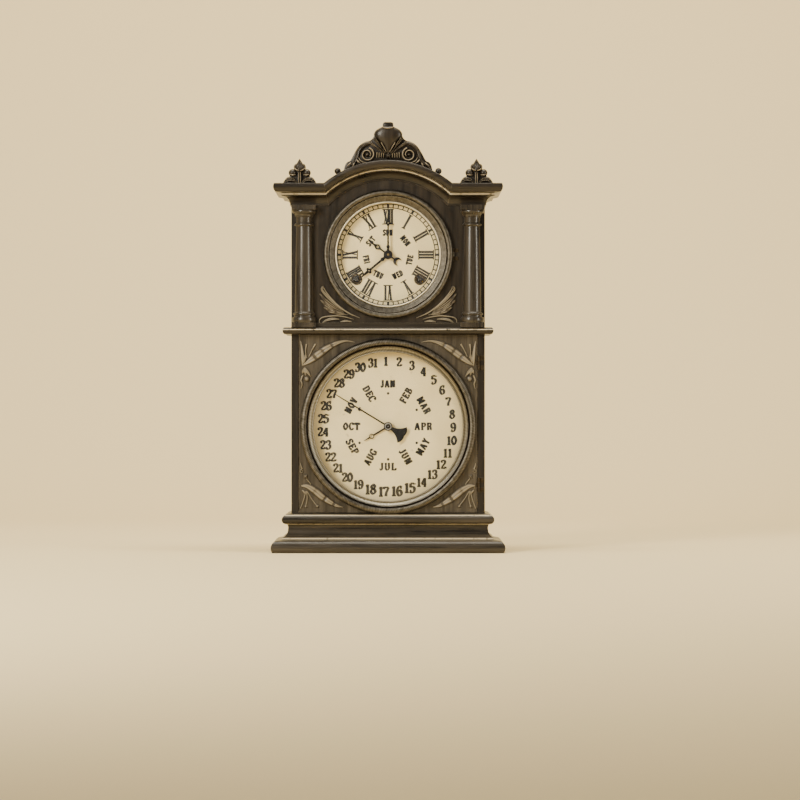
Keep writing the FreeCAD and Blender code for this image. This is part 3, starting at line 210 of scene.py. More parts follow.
# The case: walnut boards glued and screwed into a tall box, darkened with stain and rubbed varnish. The
# front and sides show; the back, the shelf and the inner boards are plain softwood left bare.
def new_group(name, inputs, outputs):
    """An empty node group, with its wiring, its inlet's outputs and its outlet's inputs."""
    tree = bpy.data.node_groups.new(name, "ShaderNodeTree")
    for socket_name, kind, value in inputs:
        tree.interface.new_socket(name=socket_name, in_out="INPUT",
                                  socket_type="NodeSocket" + kind).default_value = value
    for socket_name, kind in outputs:
        tree.interface.new_socket(name=socket_name, in_out="OUTPUT", socket_type="NodeSocket" + kind)
    wire = Wiring(tree)
    inlet, outlet = wire.nodes.new("NodeGroupInput"), wire.nodes.new("NodeGroupOutput")
    return tree, wire, inlet.outputs, outlet.inputs


def build_grain():
    """Streaks, pores and broad figure of a board. Stretch is small along the grain."""
    tree, wire, given, result = new_group(
        "board_grain",
        (("Stretch", "Vector", (1, 1, 0.06)), ("Dark", "Color", (0.02, 0.014, 0.01, 1)),
         ("Light", "Color", (0.07, 0.05, 0.035, 1))),
        (("Color", "Color"), ("Height", "Float"), ("Figure", "Float")))
    squeeze = wire.add("VectorMath")
    squeeze.operation = "MULTIPLY"
    wire.feed(squeeze.inputs[0], wire.place())
    wire.feed(squeeze.inputs[1], given["Stretch"])
    at = squeeze.outputs["Vector"]
    streak = wire.noise(at, 260.0, 5.0, 0.6)
    figure = wire.noise(at, 45.0, 2.0, 1.8)
    pores = wire.noise(at, 1500.0, 2.0)
    blend = wire.math("MULTIPLY_ADD", streak, 0.55, wire.math("MULTIPLY", figure, 0.6))
    tone = wire.band(blend, 0.40, 0.74)
    pore_mask = wire.band(pores, 0.60, 0.72)
    shade = wire.math("MULTIPLY_ADD", pore_mask, -0.45, 1.0)
    colour = wire.mix(tone, given["Dark"], given["Light"])
    wire.feed(result["Color"], wire.mix(1.0, colour, shade, "MULTIPLY"))
    wire.feed(result["Height"], wire.math("SUBTRACT", streak, pore_mask))
    wire.feed(result["Figure"], tone)
    return tree


def build_worn_edges():
    """A mask of the arrises, painted pale both for the wear that hands and dusters rub and as painted
    highlight, and a normal that rounds them.
    """
    tree, wire, given, result = new_group(
        "edge_wear_and_highlight", (("Radius", "Float", 0.0009), ("Breakup", "Float", 220.0)),
        (("Mask", "Float"), ("Normal", "Vector")))
    rounded = wire.add("Bevel", Radius=given["Radius"])
    rounded.samples = 6
    turn = wire.add("VectorMath")
    turn.operation = "DOT_PRODUCT"
    wire.feed(turn.inputs[0], rounded.outputs["Normal"])
    wire.feed(turn.inputs[1], wire.add("NewGeometry").outputs["Normal"])
    edge = wire.band(turn.outputs["Value"], 0.995, 0.86)
    gaps = wire.band(wire.noise(wire.place(), given["Breakup"], 4.0), 0.36, 0.58)
    # The mask marks arrises to be painted pale: rubbed wear, and painted highlight along the edges.
    wire.feed(result["Mask"], wire.math("MULTIPLY", edge, gaps, clamp=True))
    wire.feed(result["Normal"], rounded.outputs["Normal"])
    return tree


def build_dust():
    """Fine dust that lies thickest on upward faces, in soft patches."""
    tree, wire, given, result = new_group("settled_dust", (("Amount", "Float", 0.3),), (("Mask", "Float"),))
    split = wire.add("SeparateXYZ", Vector=wire.add("NewGeometry").outputs["Normal"])
    upward = wire.band(split.outputs["Z"], 0.25, 1.0)
    patches = wire.band(wire.noise(wire.place(), 90.0, 6.0), 0.30, 0.75)
    lying = wire.math("MULTIPLY", upward, patches)
    wire.feed(result["Mask"], wire.math("MULTIPLY", lying, given["Amount"], clamp=True))
    return tree


grain, edge_wear_and_highlight, settled_dust = build_grain(), build_worn_edges(), build_dust()
DUST = (0.46, 0.41, 0.33, 1)


def polished_wood(name, dark, light, stretch, rubbed_highlight, rub_highlight=0.7, roughness=0.32, radius=0.0009, dust=0.25,
                  coat=0.10):
    """Stained and varnished wood with its grain, arrises painted pale for rubbed wear and as painted
    highlight, and a little dust.
    """
    material, wire, inputs = new_material(name, roughness)
    board = wire.group(grain, Stretch=stretch, Dark=dark + (1,), Light=light + (1,))
    edges = wire.group(edge_wear_and_highlight, Radius=radius)
    film = wire.group(settled_dust, Amount=dust)["Mask"]
    # Arrises painted pale: rubbed wear, and painted highlight along the edges.
    pale_share = wire.math("MULTIPLY", edges["Mask"], rub_highlight)
    colour = wire.mix(pale_share, board["Color"], rubbed_highlight + (1,))
    wire.feed(inputs["Base Color"], wire.mix(film, colour, DUST))
    matte = wire.math("MULTIPLY_ADD", board["Figure"], 0.12, roughness)
    wire.feed(inputs["Roughness"], wire.math("ADD", matte, wire.math("MULTIPLY", film, 0.5)))
    wire.feed(inputs["Normal"], wire.relief(board["Height"], 0.6, 0.00008, edges["Normal"]))
    inputs["Specular IOR Level"].default_value = 0.32
    inputs["Coat Weight"].default_value = coat
    inputs["Coat Roughness"].default_value = 0.16
    return material


def finish_nodes(material, *names):
    """Puts one material on CAD nodes, in every slot they have."""
    for name in names:
        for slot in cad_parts[name].material_slots:
            slot.material = material


ALONG_X, ALONG_Z = (0.06, 1.0, 1.0), (1.0, 1.0, 0.06)
finish_nodes(polished_wood("case_walnut", (0.007, 0.005, 0.0034), (0.030, 0.022, 0.0145), ALONG_Z,
                           (0.30, 0.24, 0.16), dust=0.10), "upper_front_board", "roof_board")
# The sides take a darker copy of the case walnut: painted shade.
finish_nodes(polished_wood("side_walnut_shaded", (0.005, 0.0036, 0.0025), (0.017, 0.0125, 0.0085), ALONG_Z,
                           (0.24, 0.19, 0.13), dust=0.15), "side_boards")
finish_nodes(polished_wood("bare_softwood", (0.11, 0.078, 0.048), (0.24, 0.178, 0.112), ALONG_Z,
                           (0.50, 0.38, 0.24), roughness=0.62, dust=0.5, coat=0.0),
             "back_board", "bottom_board", "divider_shelf", "calendar_board")


# The mouldings: base, belt and cornice, run in lengths with a scratch plane, mitred at the corners and
# glued on. The arched cornice is turned. All are ebonised, with gilt lines painted along their fillets as
# highlights.
def reopen(material):
    """The wiring, shader inputs and present colour of a material, to add a layer on top."""
    wire = Wiring(material.node_tree)
    inputs = wire.nodes["Principled BSDF"].inputs
    return wire, inputs, inputs["Base Color"].links[0].from_socket


def lined_moulding(name, lines, centre=None, dark=(0.006, 0.0045, 0.0032), light=(0.030, 0.023, 0.016)):
    """Ebonised wood with gilt lines painted where highlights fall: at heights, or at distances from a centre
    height for the arch.
    """
    material = polished_wood(name, dark, light, ALONG_X, (0.30, 0.25, 0.17), rub_highlight=0.6, roughness=0.26,
                             radius=0.0006, dust=0.05)
    wire, inputs, colour = reopen(material)
    reach, _, height = wire.from_centre(centre or 0.0)
    pale_share = wire.band(wire.noise(wire.place(), 160.0), 0.24, 0.44)
    # Each line is a pale gilt line painted where a highlight falls along a fillet.
    for at, half in lines:
        mask = wire.line_mask(height if centre is None else reach, at, half)
        colour = wire.mix(wire.math("MULTIPLY", mask, pale_share), colour, (0.60, 0.51, 0.35, 1))
    wire.feed(inputs["Base Color"], colour)
    return material


base_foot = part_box("base_moulding")[0][2]
belt_top, wing_top, arch_top = (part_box(node)[1][2] for node in ("belt_moulding", "cornice_wings",
                                                                "cornice_arch"))
ARCH_RADIUS = 0.1372                    # of the arched cornice's outer edge
BASE_HIGHLIGHT_LINES = ((0.0194, 0.0009), (0.0388, 0.0006), (0.0508, 0.0006))     # height above the foot, half width
# The base takes lighter tones than the other mouldings: painted light that lifts its shaded cove.
finish_nodes(lined_moulding("ebonised_base_lightened", [(base_foot + up, half) for up, half in BASE_HIGHLIGHT_LINES],
                            dark=(0.010, 0.008, 0.0055), light=(0.055, 0.044, 0.031)),
             "base_moulding", "front_rails")
finish_nodes(lined_moulding("ebonised_belt", [(belt_top - 0.0030, 0.0006)]), "belt_moulding")
finish_nodes(lined_moulding("ebonised_wings", [(wing_top - 0.0142, 0.0008)]), "cornice_wings")
finish_nodes(lined_moulding("ebonised_arch", [(ARCH_RADIUS - 0.0122, 0.0007)], arch_top - ARCH_RADIUS),
             "cornice_arch")


# The columns: a pair of turned half columns with their foot and cap blocks, french polished and then
# glued to the front.
finish_nodes(polished_wood("polished_column", (0.012, 0.0095, 0.0065), (0.050, 0.040, 0.028), ALONG_Z,
                           (0.30, 0.25, 0.18), rub_highlight=0.15, roughness=0.24, radius=0.0004, dust=0.05,
                           coat=0.3), "columns")


# The lower door: one wide board of lighter figured walnut, its grain upright, cut out for the calendar
# bezel and hung on two butts.
finish_nodes(polished_wood("door_walnut", (0.022, 0.0175, 0.012), (0.085, 0.070, 0.050), ALONG_Z,
                           (0.36, 0.30, 0.20), roughness=0.36, dust=0.15), "door_panel")


# The carvings: leaf sprays and a shell crest cut from walnut with gouges, in crowned leaves and scrolls,
# then pinned and glued to flat faces. The high places are painted pale as highlight and the hollows
# painted dark as shade.
MM = 0.001


def close_form(made, sharp):
    """Turns a closed form's faces outward and keeps the arrises over an angle sharp."""
    shell = bmesh.new()
    shell.from_mesh(made.data)
    bmesh.ops.recalc_face_normals(shell, faces=shell.faces)
    shell.to_mesh(made.data)
    shell.free()
    made.data.set_sharp_from_angle(angle=math.radians(sharp))


def smooth_path(points, closed=False, steps=6):
    """Points on a smooth curve through the given ones, in as many values as each point has."""
    n = len(points)
    path = []
    for k in range(n if closed else n - 1):
        if closed:
            a, b, c, d = (points[(k + j) % n] for j in (-1, 0, 1, 2))
        else:
            a, b = points[max(k - 1, 0)], points[k]
            c, d = points[k + 1], points[min(k + 2, n - 1)]
        for s in range(steps):
            t = s / steps
            path.append(tuple(0.5 * (2 * b[i] + (c[i] - a[i]) * t
                                     + (2 * a[i] - 5 * b[i] + 4 * c[i] - d[i]) * t**2
                                     + (3 * b[i] - a[i] - 3 * c[i] + d[i]) * t**3) for i in range(len(b))))
    return path if closed else path + [tuple(points[-1])]


class Carving:
    """One carved piece, in millimetres: closed crowned forms that stand in front of a plane."""

    def __init__(self, plane):
        self.plane = plane
        # Each point's crown is how high it stands on its form; the material paints high crowns pale as
        # highlight and low ones dark as shade.
        self.vertices, self.crowns, self.faces = [], [], []

    def skin(self, rings):
        """Joins loops of (x, out, z, crown) into one closed form; out is the distance before the plane."""
        first, n = len(self.vertices), len(rings[0])
        for ring in rings:
            for x, out, z, crown in ring:
                self.vertices.append((x * MM, (self.plane - out) * MM, z * MM))
                self.crowns.append(crown)
        for k in range(len(rings) - 1):
            for i in range(n):
                a, b = first + k * n + i, first + k * n + (i + 1) % n
                self.faces.append((a, b, b + n, a + n))
        last = first + (len(rings) - 1) * n
        self.faces += [tuple(range(first, first + n)), tuple(range(last, last + n))]

    def leaf(self, points, groove=0.0, veins=0.0, bars=(), across=10, steps=5, crown_highlight=1.0):
        """A crowned strip through (x, z, width, rise) points, with a midrib groove, slanting veins a few
        millimetres apart, and cross cuts at fractions of its length. Crown highlight scales how pale its
        crown is painted as highlight."""
        path = smooth_path(points, steps=steps)
        run = [0.0]
        for p, q in zip(path, path[1:]):
            run.append(run[-1] + math.dist(p[:2], q[:2]))
        rings = []
        for k, (x, z, width, rise) in enumerate(path):
            q, p = path[min(k + 1, len(path) - 1)], path[max(k - 1, 0)]
            side = Vector((p[1] - q[1], q[0] - p[0])).normalized() * max(width, 0.3) / 2
            cut = 1.0 - sum(0.55 * math.exp(-((run[k] / run[-1] - bar) / 0.014) ** 2) for bar in bars)
            ring = [(x - side.x, -1.0, z - side.y, 0.0)]
            for i in range(across + 1):
                u = 2 * i / across - 1
                crown = 0.22 + 0.78 * max(0.0, 1 - abs(u) ** 2.2) ** 0.6
                crown *= 1 - groove * math.exp(-(u / 0.2) ** 2)
                if veins:
                    crown *= 1 - 0.26 * (0.5 + 0.5 * math.cos(2 * math.pi * (run[k] / veins + 1.1 * abs(u))))
                crown *= cut
                ring.append((x + side.x * u, rise * crown, z + side.y * u, crown * crown_highlight))
            ring.append((x + side.x, -1.0, z + side.y, 0.0))
            rings.append(ring)
        self.skin(rings)

    def boss(self, x, z, wide, tall, rise, petals=0, turn=0.0, depth=0.3, crown_highlight=0.8):
        """A low dome, or a flower head if it has petals."""
        rings = [[], []]
        for j in range(9):
            f = max(math.cos(math.pi / 2 * j / 8), 0.02)
            rings.append([])
            for i in range(40):
                a = 2 * math.pi * i / 40
                edge = 1 - (depth * (0.5 - 0.5 * math.cos(petals * (a - turn))) if petals else 0.0)
                crown = (1 - f * f) ** 0.5
                rings[-1].append((x + wide * f * edge * math.cos(a), rise * crown * (0.75 + 0.25 * edge),
                                  z + tall * f * edge * math.sin(a), (0.3 + 0.7 * crown) * edge * crown_highlight))
        rings[0] = [(px, -1.0, pz, 0.0) for px, _, pz, _ in rings[2]]
        rings[1] = [(px, 0.0, pz, 0.2) for px, _, pz, _ in rings[2]]
        self.skin(rings)

    def ball(self, x, out, z, radius):
        rings = []
        for j in range(13):
            a = math.pi * min(max(j / 12, 0.02), 0.98)
            reach = radius * math.sin(a)
            rings.append([(x + reach * math.cos(2 * math.pi * i / 24), out - radius * math.cos(a),
                           z + reach * math.sin(2 * math.pi * i / 24), 0.3) for i in range(24)])
        self.skin(rings)

    def scroll(self, x, z, outer, inner, start, turns, width, rise, eye):
        """A volute that winds in from its outer end to a round eye; a negative turn winds clockwise."""
        points = []
        for k in range(25):
            a = math.radians(start) + 2 * math.pi * turns * k / 24
            r = outer + (inner - outer) * k / 24
            points.append((x + r * math.cos(a), z + r * math.sin(a), width * (1 - 0.45 * k / 24), rise))
        self.leaf(points, steps=3, across=8)
        self.boss(x, z, eye, eye, rise * 0.9)

    def ground(self, outline, depth, out, round_off=1.2):
        """The sawn blank under the carving: depth thick, its front out from the plane, with eased edges."""
        n = len(outline)
        area = sum(outline[k - 1][0] * outline[k][1] - outline[k][0] * outline[k - 1][1] for k in range(n))
        inward = []
        for k in range(n):
            before, after = outline[k - 1], outline[(k + 1) % n]
            along = Vector((after[0] - before[0], after[1] - before[1])).normalized()
            inward.append(Vector((-along.y, along.x)) * (1 if area > 0 else -1))
        rings = []
        for inset, fall, crown in ((0, depth, 0.1), (0, round_off, 0.35), (0.3, 0.3, 0.6), (1, 0, 0.3)):
            drop = fall if fall == depth or inset == 0 else fall * round_off
            rings.append([(p[0] + v.x * inset * round_off, out - drop, p[1] + v.y * inset * round_off, crown)
                          for p, v in zip(outline, inward)])
        self.skin(rings)

    def mirror(self):
        """Repeats everything so far on the other side of the clock's middle."""
        n = len(self.vertices)
        self.vertices += [(-x, y, z) for x, y, z in self.vertices]
        self.crowns += self.crowns
        self.faces += [tuple(n + i for i in reversed(face)) for face in self.faces]

    def take_in(self, other):
        """Adds everything of another carving to this one."""
        n = len(self.vertices)
        self.vertices += other.vertices
        self.crowns += other.crowns
        self.faces += [tuple(n + i for i in face) for face in other.faces]

    def piece(self, name, node, body, material):
        made = mesh_piece(name, self.vertices, self.faces)
        close_form(made, 42)
        made.data.attributes.new("crown", "FLOAT", "POINT").data.foreach_set("value", self.crowns)
        made.data.materials.append(material)
        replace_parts(made, node)
        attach(made, body)


def carved_wood(name, hollow, dark, light, rubbed_highlight, rub_highlight, start):
    """Walnut with its grain, painted shade in the hollows and painted highlights along the crowns, from a
    height up.
    """
    material = polished_wood(name, dark, light, ALONG_Z, rubbed_highlight, rub_highlight=0.6, roughness=0.30, radius=0.0004)
    wire, inputs, wood_colour = reopen(material)
    crown = wire.add("Attribute")
    crown.attribute_name = "crown"
    # Low crowns are painted dark as shade in the hollows; high crowns are painted pale as highlight.
    low = wire.math("MULTIPLY", wire.band(crown.outputs["Fac"], 0.55, 0.10), 0.8)
    high = wire.math("MULTIPLY", wire.band(crown.outputs["Fac"], start, 0.5 + start / 2), rub_highlight)
    shaded = wire.mix(low, wood_colour, hollow + (1,))
    wire.feed(inputs["Base Color"], wire.mix(high, shaded, rubbed_highlight + (1,)))
    return material


# Each: painted hollow shade, grain dark and light, painted crown highlight, its strength and start.
dark_carving = carved_wood("carved_walnut", (0.003, 0.002, 0.0015), (0.008, 0.006, 0.004),
                           (0.030, 0.022, 0.015), (0.42, 0.34, 0.23), 0.62, 0.78)
pale_carving = carved_wood("carved_door_walnut", (0.004, 0.003, 0.002), (0.045, 0.036, 0.025),
                           (0.080, 0.066, 0.046), (0.42, 0.36, 0.255), 0.50, 0.66)
leaf_carving = carved_wood("carved_leaf_walnut", (0.003, 0.002, 0.0015), (0.020, 0.015, 0.010),
                           (0.070, 0.054, 0.036), (0.42, 0.36, 0.255), 0.55, 0.72)


def mm_box(node):
    low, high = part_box(node)
    return [v / MM for v in low], [v / MM for v in high]


def carve_crest():
    """A shell-shaped crest: a smooth bulb over a fan of ribs, volutes on both sides and leafy feet."""
    (_, front, _), (right, back, _) = mm_box("crest")
    foot = mm_box("cornice_arch")[1][2] - 0.4          # crown of the arch that the crest stands on
    arch = 136.8                                       # radius of that arch
    crest = Carving(back - 8.0)
    edge = [(60.2, 519.8), (58.4, 526.2), (55.4, 530.2), (51.8, 531.8), (49.2, 535.8), (46.2, 541.8),
            (41.8, 549.0), (36.6, 554.4), (30.6, 558.0), (25.4, 559.2), (21.6, 561.8), (19.4, 565.8),
            (19.0, 569.4), (15.4, 574.2), (7.6, 578.4)]
    base = [(x, foot - arch + math.sqrt(arch**2 - x**2)) for x in range(-60, 61, 6)]
    other_edge = [(-x, z) for x, z in reversed(edge)]
    crest.ground(base + smooth_path(edge, steps=3) + smooth_path(other_edge, steps=3), 8.0, 0.0)
    crest.ground([(-6.6, 576.8), (6.6, 576.8), (7.4, 580.0), (6.8, 583.2), (4.4, 584.3), (-4.4, 584.3),
                  (-6.8, 583.2), (-7.4, 580.0)], 11.0, 4.0, 1.4)
    crest.leaf([(0.2, 540.0, 4, 3), (0.2, 546, 8, 5), (0.2, 552, 15, 6), (0.2, 558, 26, 7),
                (0.2, 564, 35.5, 7.8), (0.2, 570, 36, 7.8), (0.2, 575, 27, 7), (0.2, 578, 13, 5.5)],
               across=16, crown_highlight=0.6)
    crest.leaf([(-8.2, 577.6, 1.4, 7.2), (-4, 576.3, 2.2, 8), (0.2, 575.9, 2.4, 8), (4.4, 576.3, 2.2, 8),
                (8.4, 577.6, 1.4, 7.2)])
    crest.boss(0.4, 538.2, 4.9, 5.2, 7.2, petals=5, turn=math.pi / 2, depth=0.42)
    side = Carving(crest.plane)
    side.leaf([(3.4, 541.6, 1.4, 4.5), (9.6, 550.0, 2.6, 6.8), (18.6, 562.2, 4.6, 7.6)],
              groove=0.5, veins=1.7)
    side.leaf([(5.4, 541.2, 1.4, 4.2), (13.6, 548.6, 3.2, 5.6), (25.6, 557.4, 4.4, 4.4)],
              groove=0.35, veins=1.9)
    side.leaf([(2.2, 543.4, 1.0, 5.5), (5.4, 549.4, 1.6, 7.6), (9.4, 556.4, 1.8, 8.0)])
    side.scroll(28.2, 540.2, 9.3, 4.2, 105.0, 1.3, 2.8, 5.6, 3.3)
    side.leaf([(22.0, 556.6, 4.0, 3.0), (32.4, 553.6, 6.0, 4.4), (39.6, 546.4, 6.4, 4.8),
               (42.2, 537.6, 5.4, 4.4), (45.6, 530.2, 4.6, 4.0), (53.0, 525.2, 3.0, 3.2),
               (57.6, 521.0, 1.6, 2.2)], groove=0.2, crown_highlight=0.68)
    for k in range(4):
        x = 5.8 + 3.1 * k
        side.leaf([(x, 541.6 + 0.5 * k, 2.0, 4.6), (x + 0.3, 536.4 - 0.1 * k, 1.2, 3.4)])
    side.leaf([(48.4, 522.8, 0.8, 2.0), (46.6, 526.6, 2.6, 4.6), (44.8, 530.6, 0.8, 2.4)])
    side.leaf([(43.6, 535.2, 0.8, 2.0), (40.8, 530.8, 3.2, 5.0), (36.8, 528.4, 0.8, 2.4)])
    side.leaf([(40.4, 537.4, 0.8, 2.4), (37.6, 532.2, 1.9, 4.0), (32.6, 529.6, 1.9, 3.8),
               (26.4, 529.0, 0.8, 2.4)])
    side.leaf([(50.6, 530.0, 0.8, 2.0), (52.4, 527.0, 2.4, 4.2), (55.8, 525.0, 0.8, 2.2)])
    side.mirror()
    crest.take_in(side)
    ball, above = 4.4, 4.2             # radius of the foot balls, and how far their middles are off the arch
    for x in (ball - right, right - ball):
        crest.ball(x, crest.plane - (front + back) / 2,
                   foot - arch + math.sqrt((arch + above)**2 - x**2), ball)
    crest.piece("carved_crest", "crest", "case", dark_carving)


carve_crest()


def carve_finials():
    """A fleuron on each end of the cornice: a pointed leaf over two round lobes and two low leaves."""
    (_, _, z), (right, back, _) = mm_box("finials")
    x = right - 22.85                                  # middle of the right one
    finial = Carving(back - 6.0)
    edge = [(23.0, 0.0), (21.0, 4.0), (17.4, 8.6), (13.6, 10.4), (15.0, 15.6), (11.6, 19.8), (7.4, 18.4),
            (8.2, 22.8), (6.8, 26.2), (3.4, 28.0), (0.8, 32.6)]
    outline = smooth_path(edge, steps=3) + smooth_path([(-a, b) for a, b in reversed(edge)], steps=3)
    finial.ground([(x + a, z + b) for a, b in outline], 6.0, 0.0, 1.0)
    finial.leaf([(x, z + 15.6, 3, 5), (x, z + 19, 10, 6.6), (x, z + 23, 15, 7.2), (x, z + 27, 9, 6.4),
                 (x, z + 33.8, 0.6, 3)], groove=0.25, across=12, crown_highlight=0.72)
    for s in (-1, 1):
        def cut(points, **how):
            finial.leaf([(x + s * a, z + b, width, rise) for a, b, width, rise in points], **how)

        cut([(1.0, 17.6, 1.2, 7), (4.4, 18.6, 2.4, 8), (7.2, 21.4, 1.0, 6)])
        finial.boss(x + s * 9.6, z + 14.8, 5.4, 5.2, 6.4, crown_highlight=0.66)
        cut([(5.4, 12.2, 1.0, 5), (9.4, 11.4, 2.2, 7), (13.0, 12.6, 1.0, 5)])
        cut([(3.0, 1.0, 2.0, 4), (9.0, 5.2, 7.0, 6), (15.6, 5.4, 7.0, 5.4), (22.2, 0.6, 1.2, 3)],
            groove=0.3, veins=2.6)
        cut([(1.3, 1.0, 1.6, 5.4), (1.2, 8, 1.7, 6.6), (1.1, 15, 1.2, 6)])
    finial.mirror()
    finial.piece("carved_finials", "finials", "case", dark_carving)


carve_finials()


def carve_spandrels():
    """Acanthus sprays in the lower corners of the upper board, curled up beside the bezel."""
    spray = Carving(mm_box("upper_front_board")[0][1])
    centre = mm_box("time_dial")[0][2] / 2 + mm_box("time_dial")[1][2] / 2
    stem = []                                          # follows the bezel, by angle from below, and reach
    for angle, reach, width in ((64, 98.8, 1.2), (56, 98.2, 2.0), (45, 97.2, 2.4), (34, 96.2, 2.4),
                                (24, 94.6, 0.8)):
        a = math.radians(angle)
        stem.append((-reach * math.sin(a), centre - reach * math.cos(a), width, 3.0))
    spray.leaf(stem)
    spray.leaf([(-62, 329.6, 1.6, 2.4), (-74, 339.4, 4.0, 3.6), (-84, 349.6, 4.6, 3.8),
                (-90.0, 357.4, 3.4, 3.4), (-89.6, 361.6, 1.8, 2.4)], groove=0.35)
    spray.boss(-88.4, 360.2, 2.3, 2.3, 3.4)
    spray.leaf([(-61, 327.4, 1.6, 2.4), (-74, 334.4, 4.6, 3.6), (-85.4, 343.2, 5.2, 4.0),
                (-93.0, 352.0, 1.6, 2.6)], groove=0.35, veins=3.0)
    spray.leaf([(-60, 325.4, 1.6, 2.4), (-73, 329.8, 5.0, 3.6), (-84, 336.4, 5.6, 4.0),
                (-91.6, 343.4, 1.6, 2.6)], groove=0.35, veins=3.0)
    spray.leaf([(-55, 323.2, 1.2, 2.2), (-67, 325.0, 5.2, 3.6), (-78, 328.2, 6.4, 4.0),
                (-87.2, 333.6, 1.8, 2.6)], groove=0.3, veins=3.0)
    spray.leaf([(-93.4, 312.0, 1.0, 2.0), (-93.0, 316.6, 1.8, 2.8), (-88.6, 319.8, 2.2, 3.2),
                (-80, 321.2, 2.2, 3.2), (-70, 321.8, 2.2, 3.2), (-59, 320.4, 2.0, 3.0),
                (-47, 317.2, 0.8, 2.0)])
    spray.leaf([(-90.4, 311.4, 1.0, 2.0), (-84, 315.6, 3.8, 3.2), (-75, 317.6, 4.4, 3.4),
                (-66.4, 317.2, 1.0, 2.0)], groove=0.3)
    spray.leaf([(-65.0, 313.6, 1.0, 2.0), (-57.4, 314.8, 4.0, 3.4), (-49.4, 313.8, 1.0, 2.0)], groove=0.3)
    spray.mirror()
    spray.piece("spandrel_sprays", "spandrel_leaves", "case", leaf_carving)


carve_spandrels()


def carve_door_sprays():
    """In each corner of the door: one long jointed leaf along the edge, stamens, a pointed leaf and a bud."""
    spray = Carving(mm_box("door_panel")[0][1])
    spray.leaf([(-117, 254.2, 1.0, 1.4), (-109, 258.8, 6.6, 2.8), (-99.6, 265.8, 10.8, 3.6),
                (-89, 273.8, 11.2, 3.8), (-78.4, 280.6, 9.0, 3.6), (-68, 285.4, 6.0, 3.0),
                (-57, 287.8, 3.2, 2.4), (-45, 286.0, 0.8, 1.4)],
               groove=0.22, bars=(0.25, 0.43, 0.61), across=14, crown_highlight=0.92)
    spray.leaf([(-116.6, 254.6, 1.0, 1.6), (-116.2, 264, 4.8, 3.0), (-117.0, 275, 4.2, 2.8),
                (-119.0, 287.6, 0.8, 1.4)], groove=0.15)
    spray.leaf([(-111.0, 264.4, 1.6, 2.2), (-112.2, 274, 1.5, 2.6), (-111.0, 283.6, 3.0, 2.4)])
    spray.leaf([(-107.6, 266.4, 1.6, 2.2), (-103.8, 275, 1.5, 2.6), (-98.8, 283.6, 3.0, 2.4)])
    spray.leaf([(-114.6, 257.4, 1.2, 1.8), (-113.4, 263.6, 4.2, 3.2), (-112.6, 269.4, 0.8, 1.6)],
               groove=0.3)
    for x, z in ((-116.6, 243.2), (-111.8, 240.6), (-105.4, 239.4)):
        spray.leaf([(-113.4, 251.4, 1.4, 2.2), ((-113.4 + x) / 2, (251.4 + z) / 2, 4.4, 3.4),
                    (x, z, 1.0, 2.0)], groove=0.3)
    spray.boss(-110.6, 236.2, 4.2, 4.6, 3.0)
    spray.leaf([(-116.0, 241.0, 2.2, 2.4), (-118.4, 234.6, 2.4, 2.8), (-116.8, 229.0, 1.8, 2.6),
                (-118.6, 222.4, 0.8, 1.6)])
    spray.leaf([(-118.2, 90.6, 1.6, 1.4), (-110, 90.0, 7.2, 2.8), (-100, 84.2, 10.6, 3.6),
                (-90, 76.0, 10.6, 3.8), (-80, 69.4, 8.4, 3.4), (-70, 63.8, 5.0, 2.6),
                (-61, 61.6, 0.8, 1.4)], groove=0.22, bars=(0.32, 0.57, 0.80), across=14, crown_highlight=0.92)
    for points in (((-110.8, 83.2), (-110.0, 73.0), (-112.1, 63.2)),
                   ((-110.0, 83.0), (-104.0, 73.0), (-97.2, 64.2)),
                   ((-111.6, 83.4), (-114.8, 72.0), (-119.0, 60.0))):
        spray.leaf([(x, z, 1.4, 2.4) for x, z in points])
    spray.boss(-112.1, 62.4, 2.0, 2.0, 3.2)
    spray.boss(-96.5, 62.9, 2.4, 2.1, 3.2)
    spray.leaf([(-117.0, 85.0, 0.8, 1.6), (-114.4, 82.6, 2.6, 2.6), (-112.2, 79.4, 0.8, 1.6)])
    spray.boss(-112.1, 103.4, 3.6, 3.6, 3.2, petals=4, turn=math.pi / 4, depth=0.4)
    spray.leaf([(-111.0, 100.4, 1.6, 2.2), (-108.0, 96.8, 1.4, 2.2), (-105.0, 92.6, 1.2, 2.0)])
    spray.scroll(-117.4, 110.7, 2.4, 1.2, 90.0, 1.1, 1.2, 2.4, 0.8)
    spray.leaf([(-116.6, 113.4, 1.8, 2.4), (-118.2, 117.0, 1.8, 2.2), (-119.0, 121.4, 0.8, 1.6)])
    spray.mirror()
    spray.piece("door_sprays", "door_carvings", "door", pale_carving)


carve_door_sprays()


# The bezels: rings of spun brass, chased with fine hatching that slants on the lower one, lacquered and
# long since gone brown. Each carries its glass in a rebate, with a sprung keeper ring behind it.
def aged_brass(name, bright, tarnish, roughness, edge_wear_highlight=0.75):
    """Browned brass with stains, arrises painted bright as wear and highlight, and a fine pitted surface."""
    material, wire, inputs = new_material(name, roughness, 1.0)
    stain = wire.noise(wire.place(), 210.0, 5.0, 0.4)
    edges = wire.group(edge_wear_and_highlight, Radius=0.0006, Breakup=400.0)
    film = wire.group(settled_dust, Amount=0.15)["Mask"]
    colour = wire.mix(wire.band(stain, 0.30, 0.72), tarnish + (1,), bright + (1,))
    # Arrises painted bright: wear, and painted highlight.
    colour = wire.mix(wire.math("MULTIPLY", edges["Mask"], edge_wear_highlight), colour, (0.50, 0.46, 0.38, 1))
    wire.feed(inputs["Base Color"], wire.mix(film, colour, DUST))
    wire.feed(inputs["Roughness"], wire.math("MULTIPLY_ADD", stain, 0.16, roughness - 0.06))
    pits = wire.noise(wire.place(), 900.0, 2.0)
    wire.feed(inputs["Normal"], wire.relief(pits, 0.35, 0.00004, edges["Normal"]))
    return material


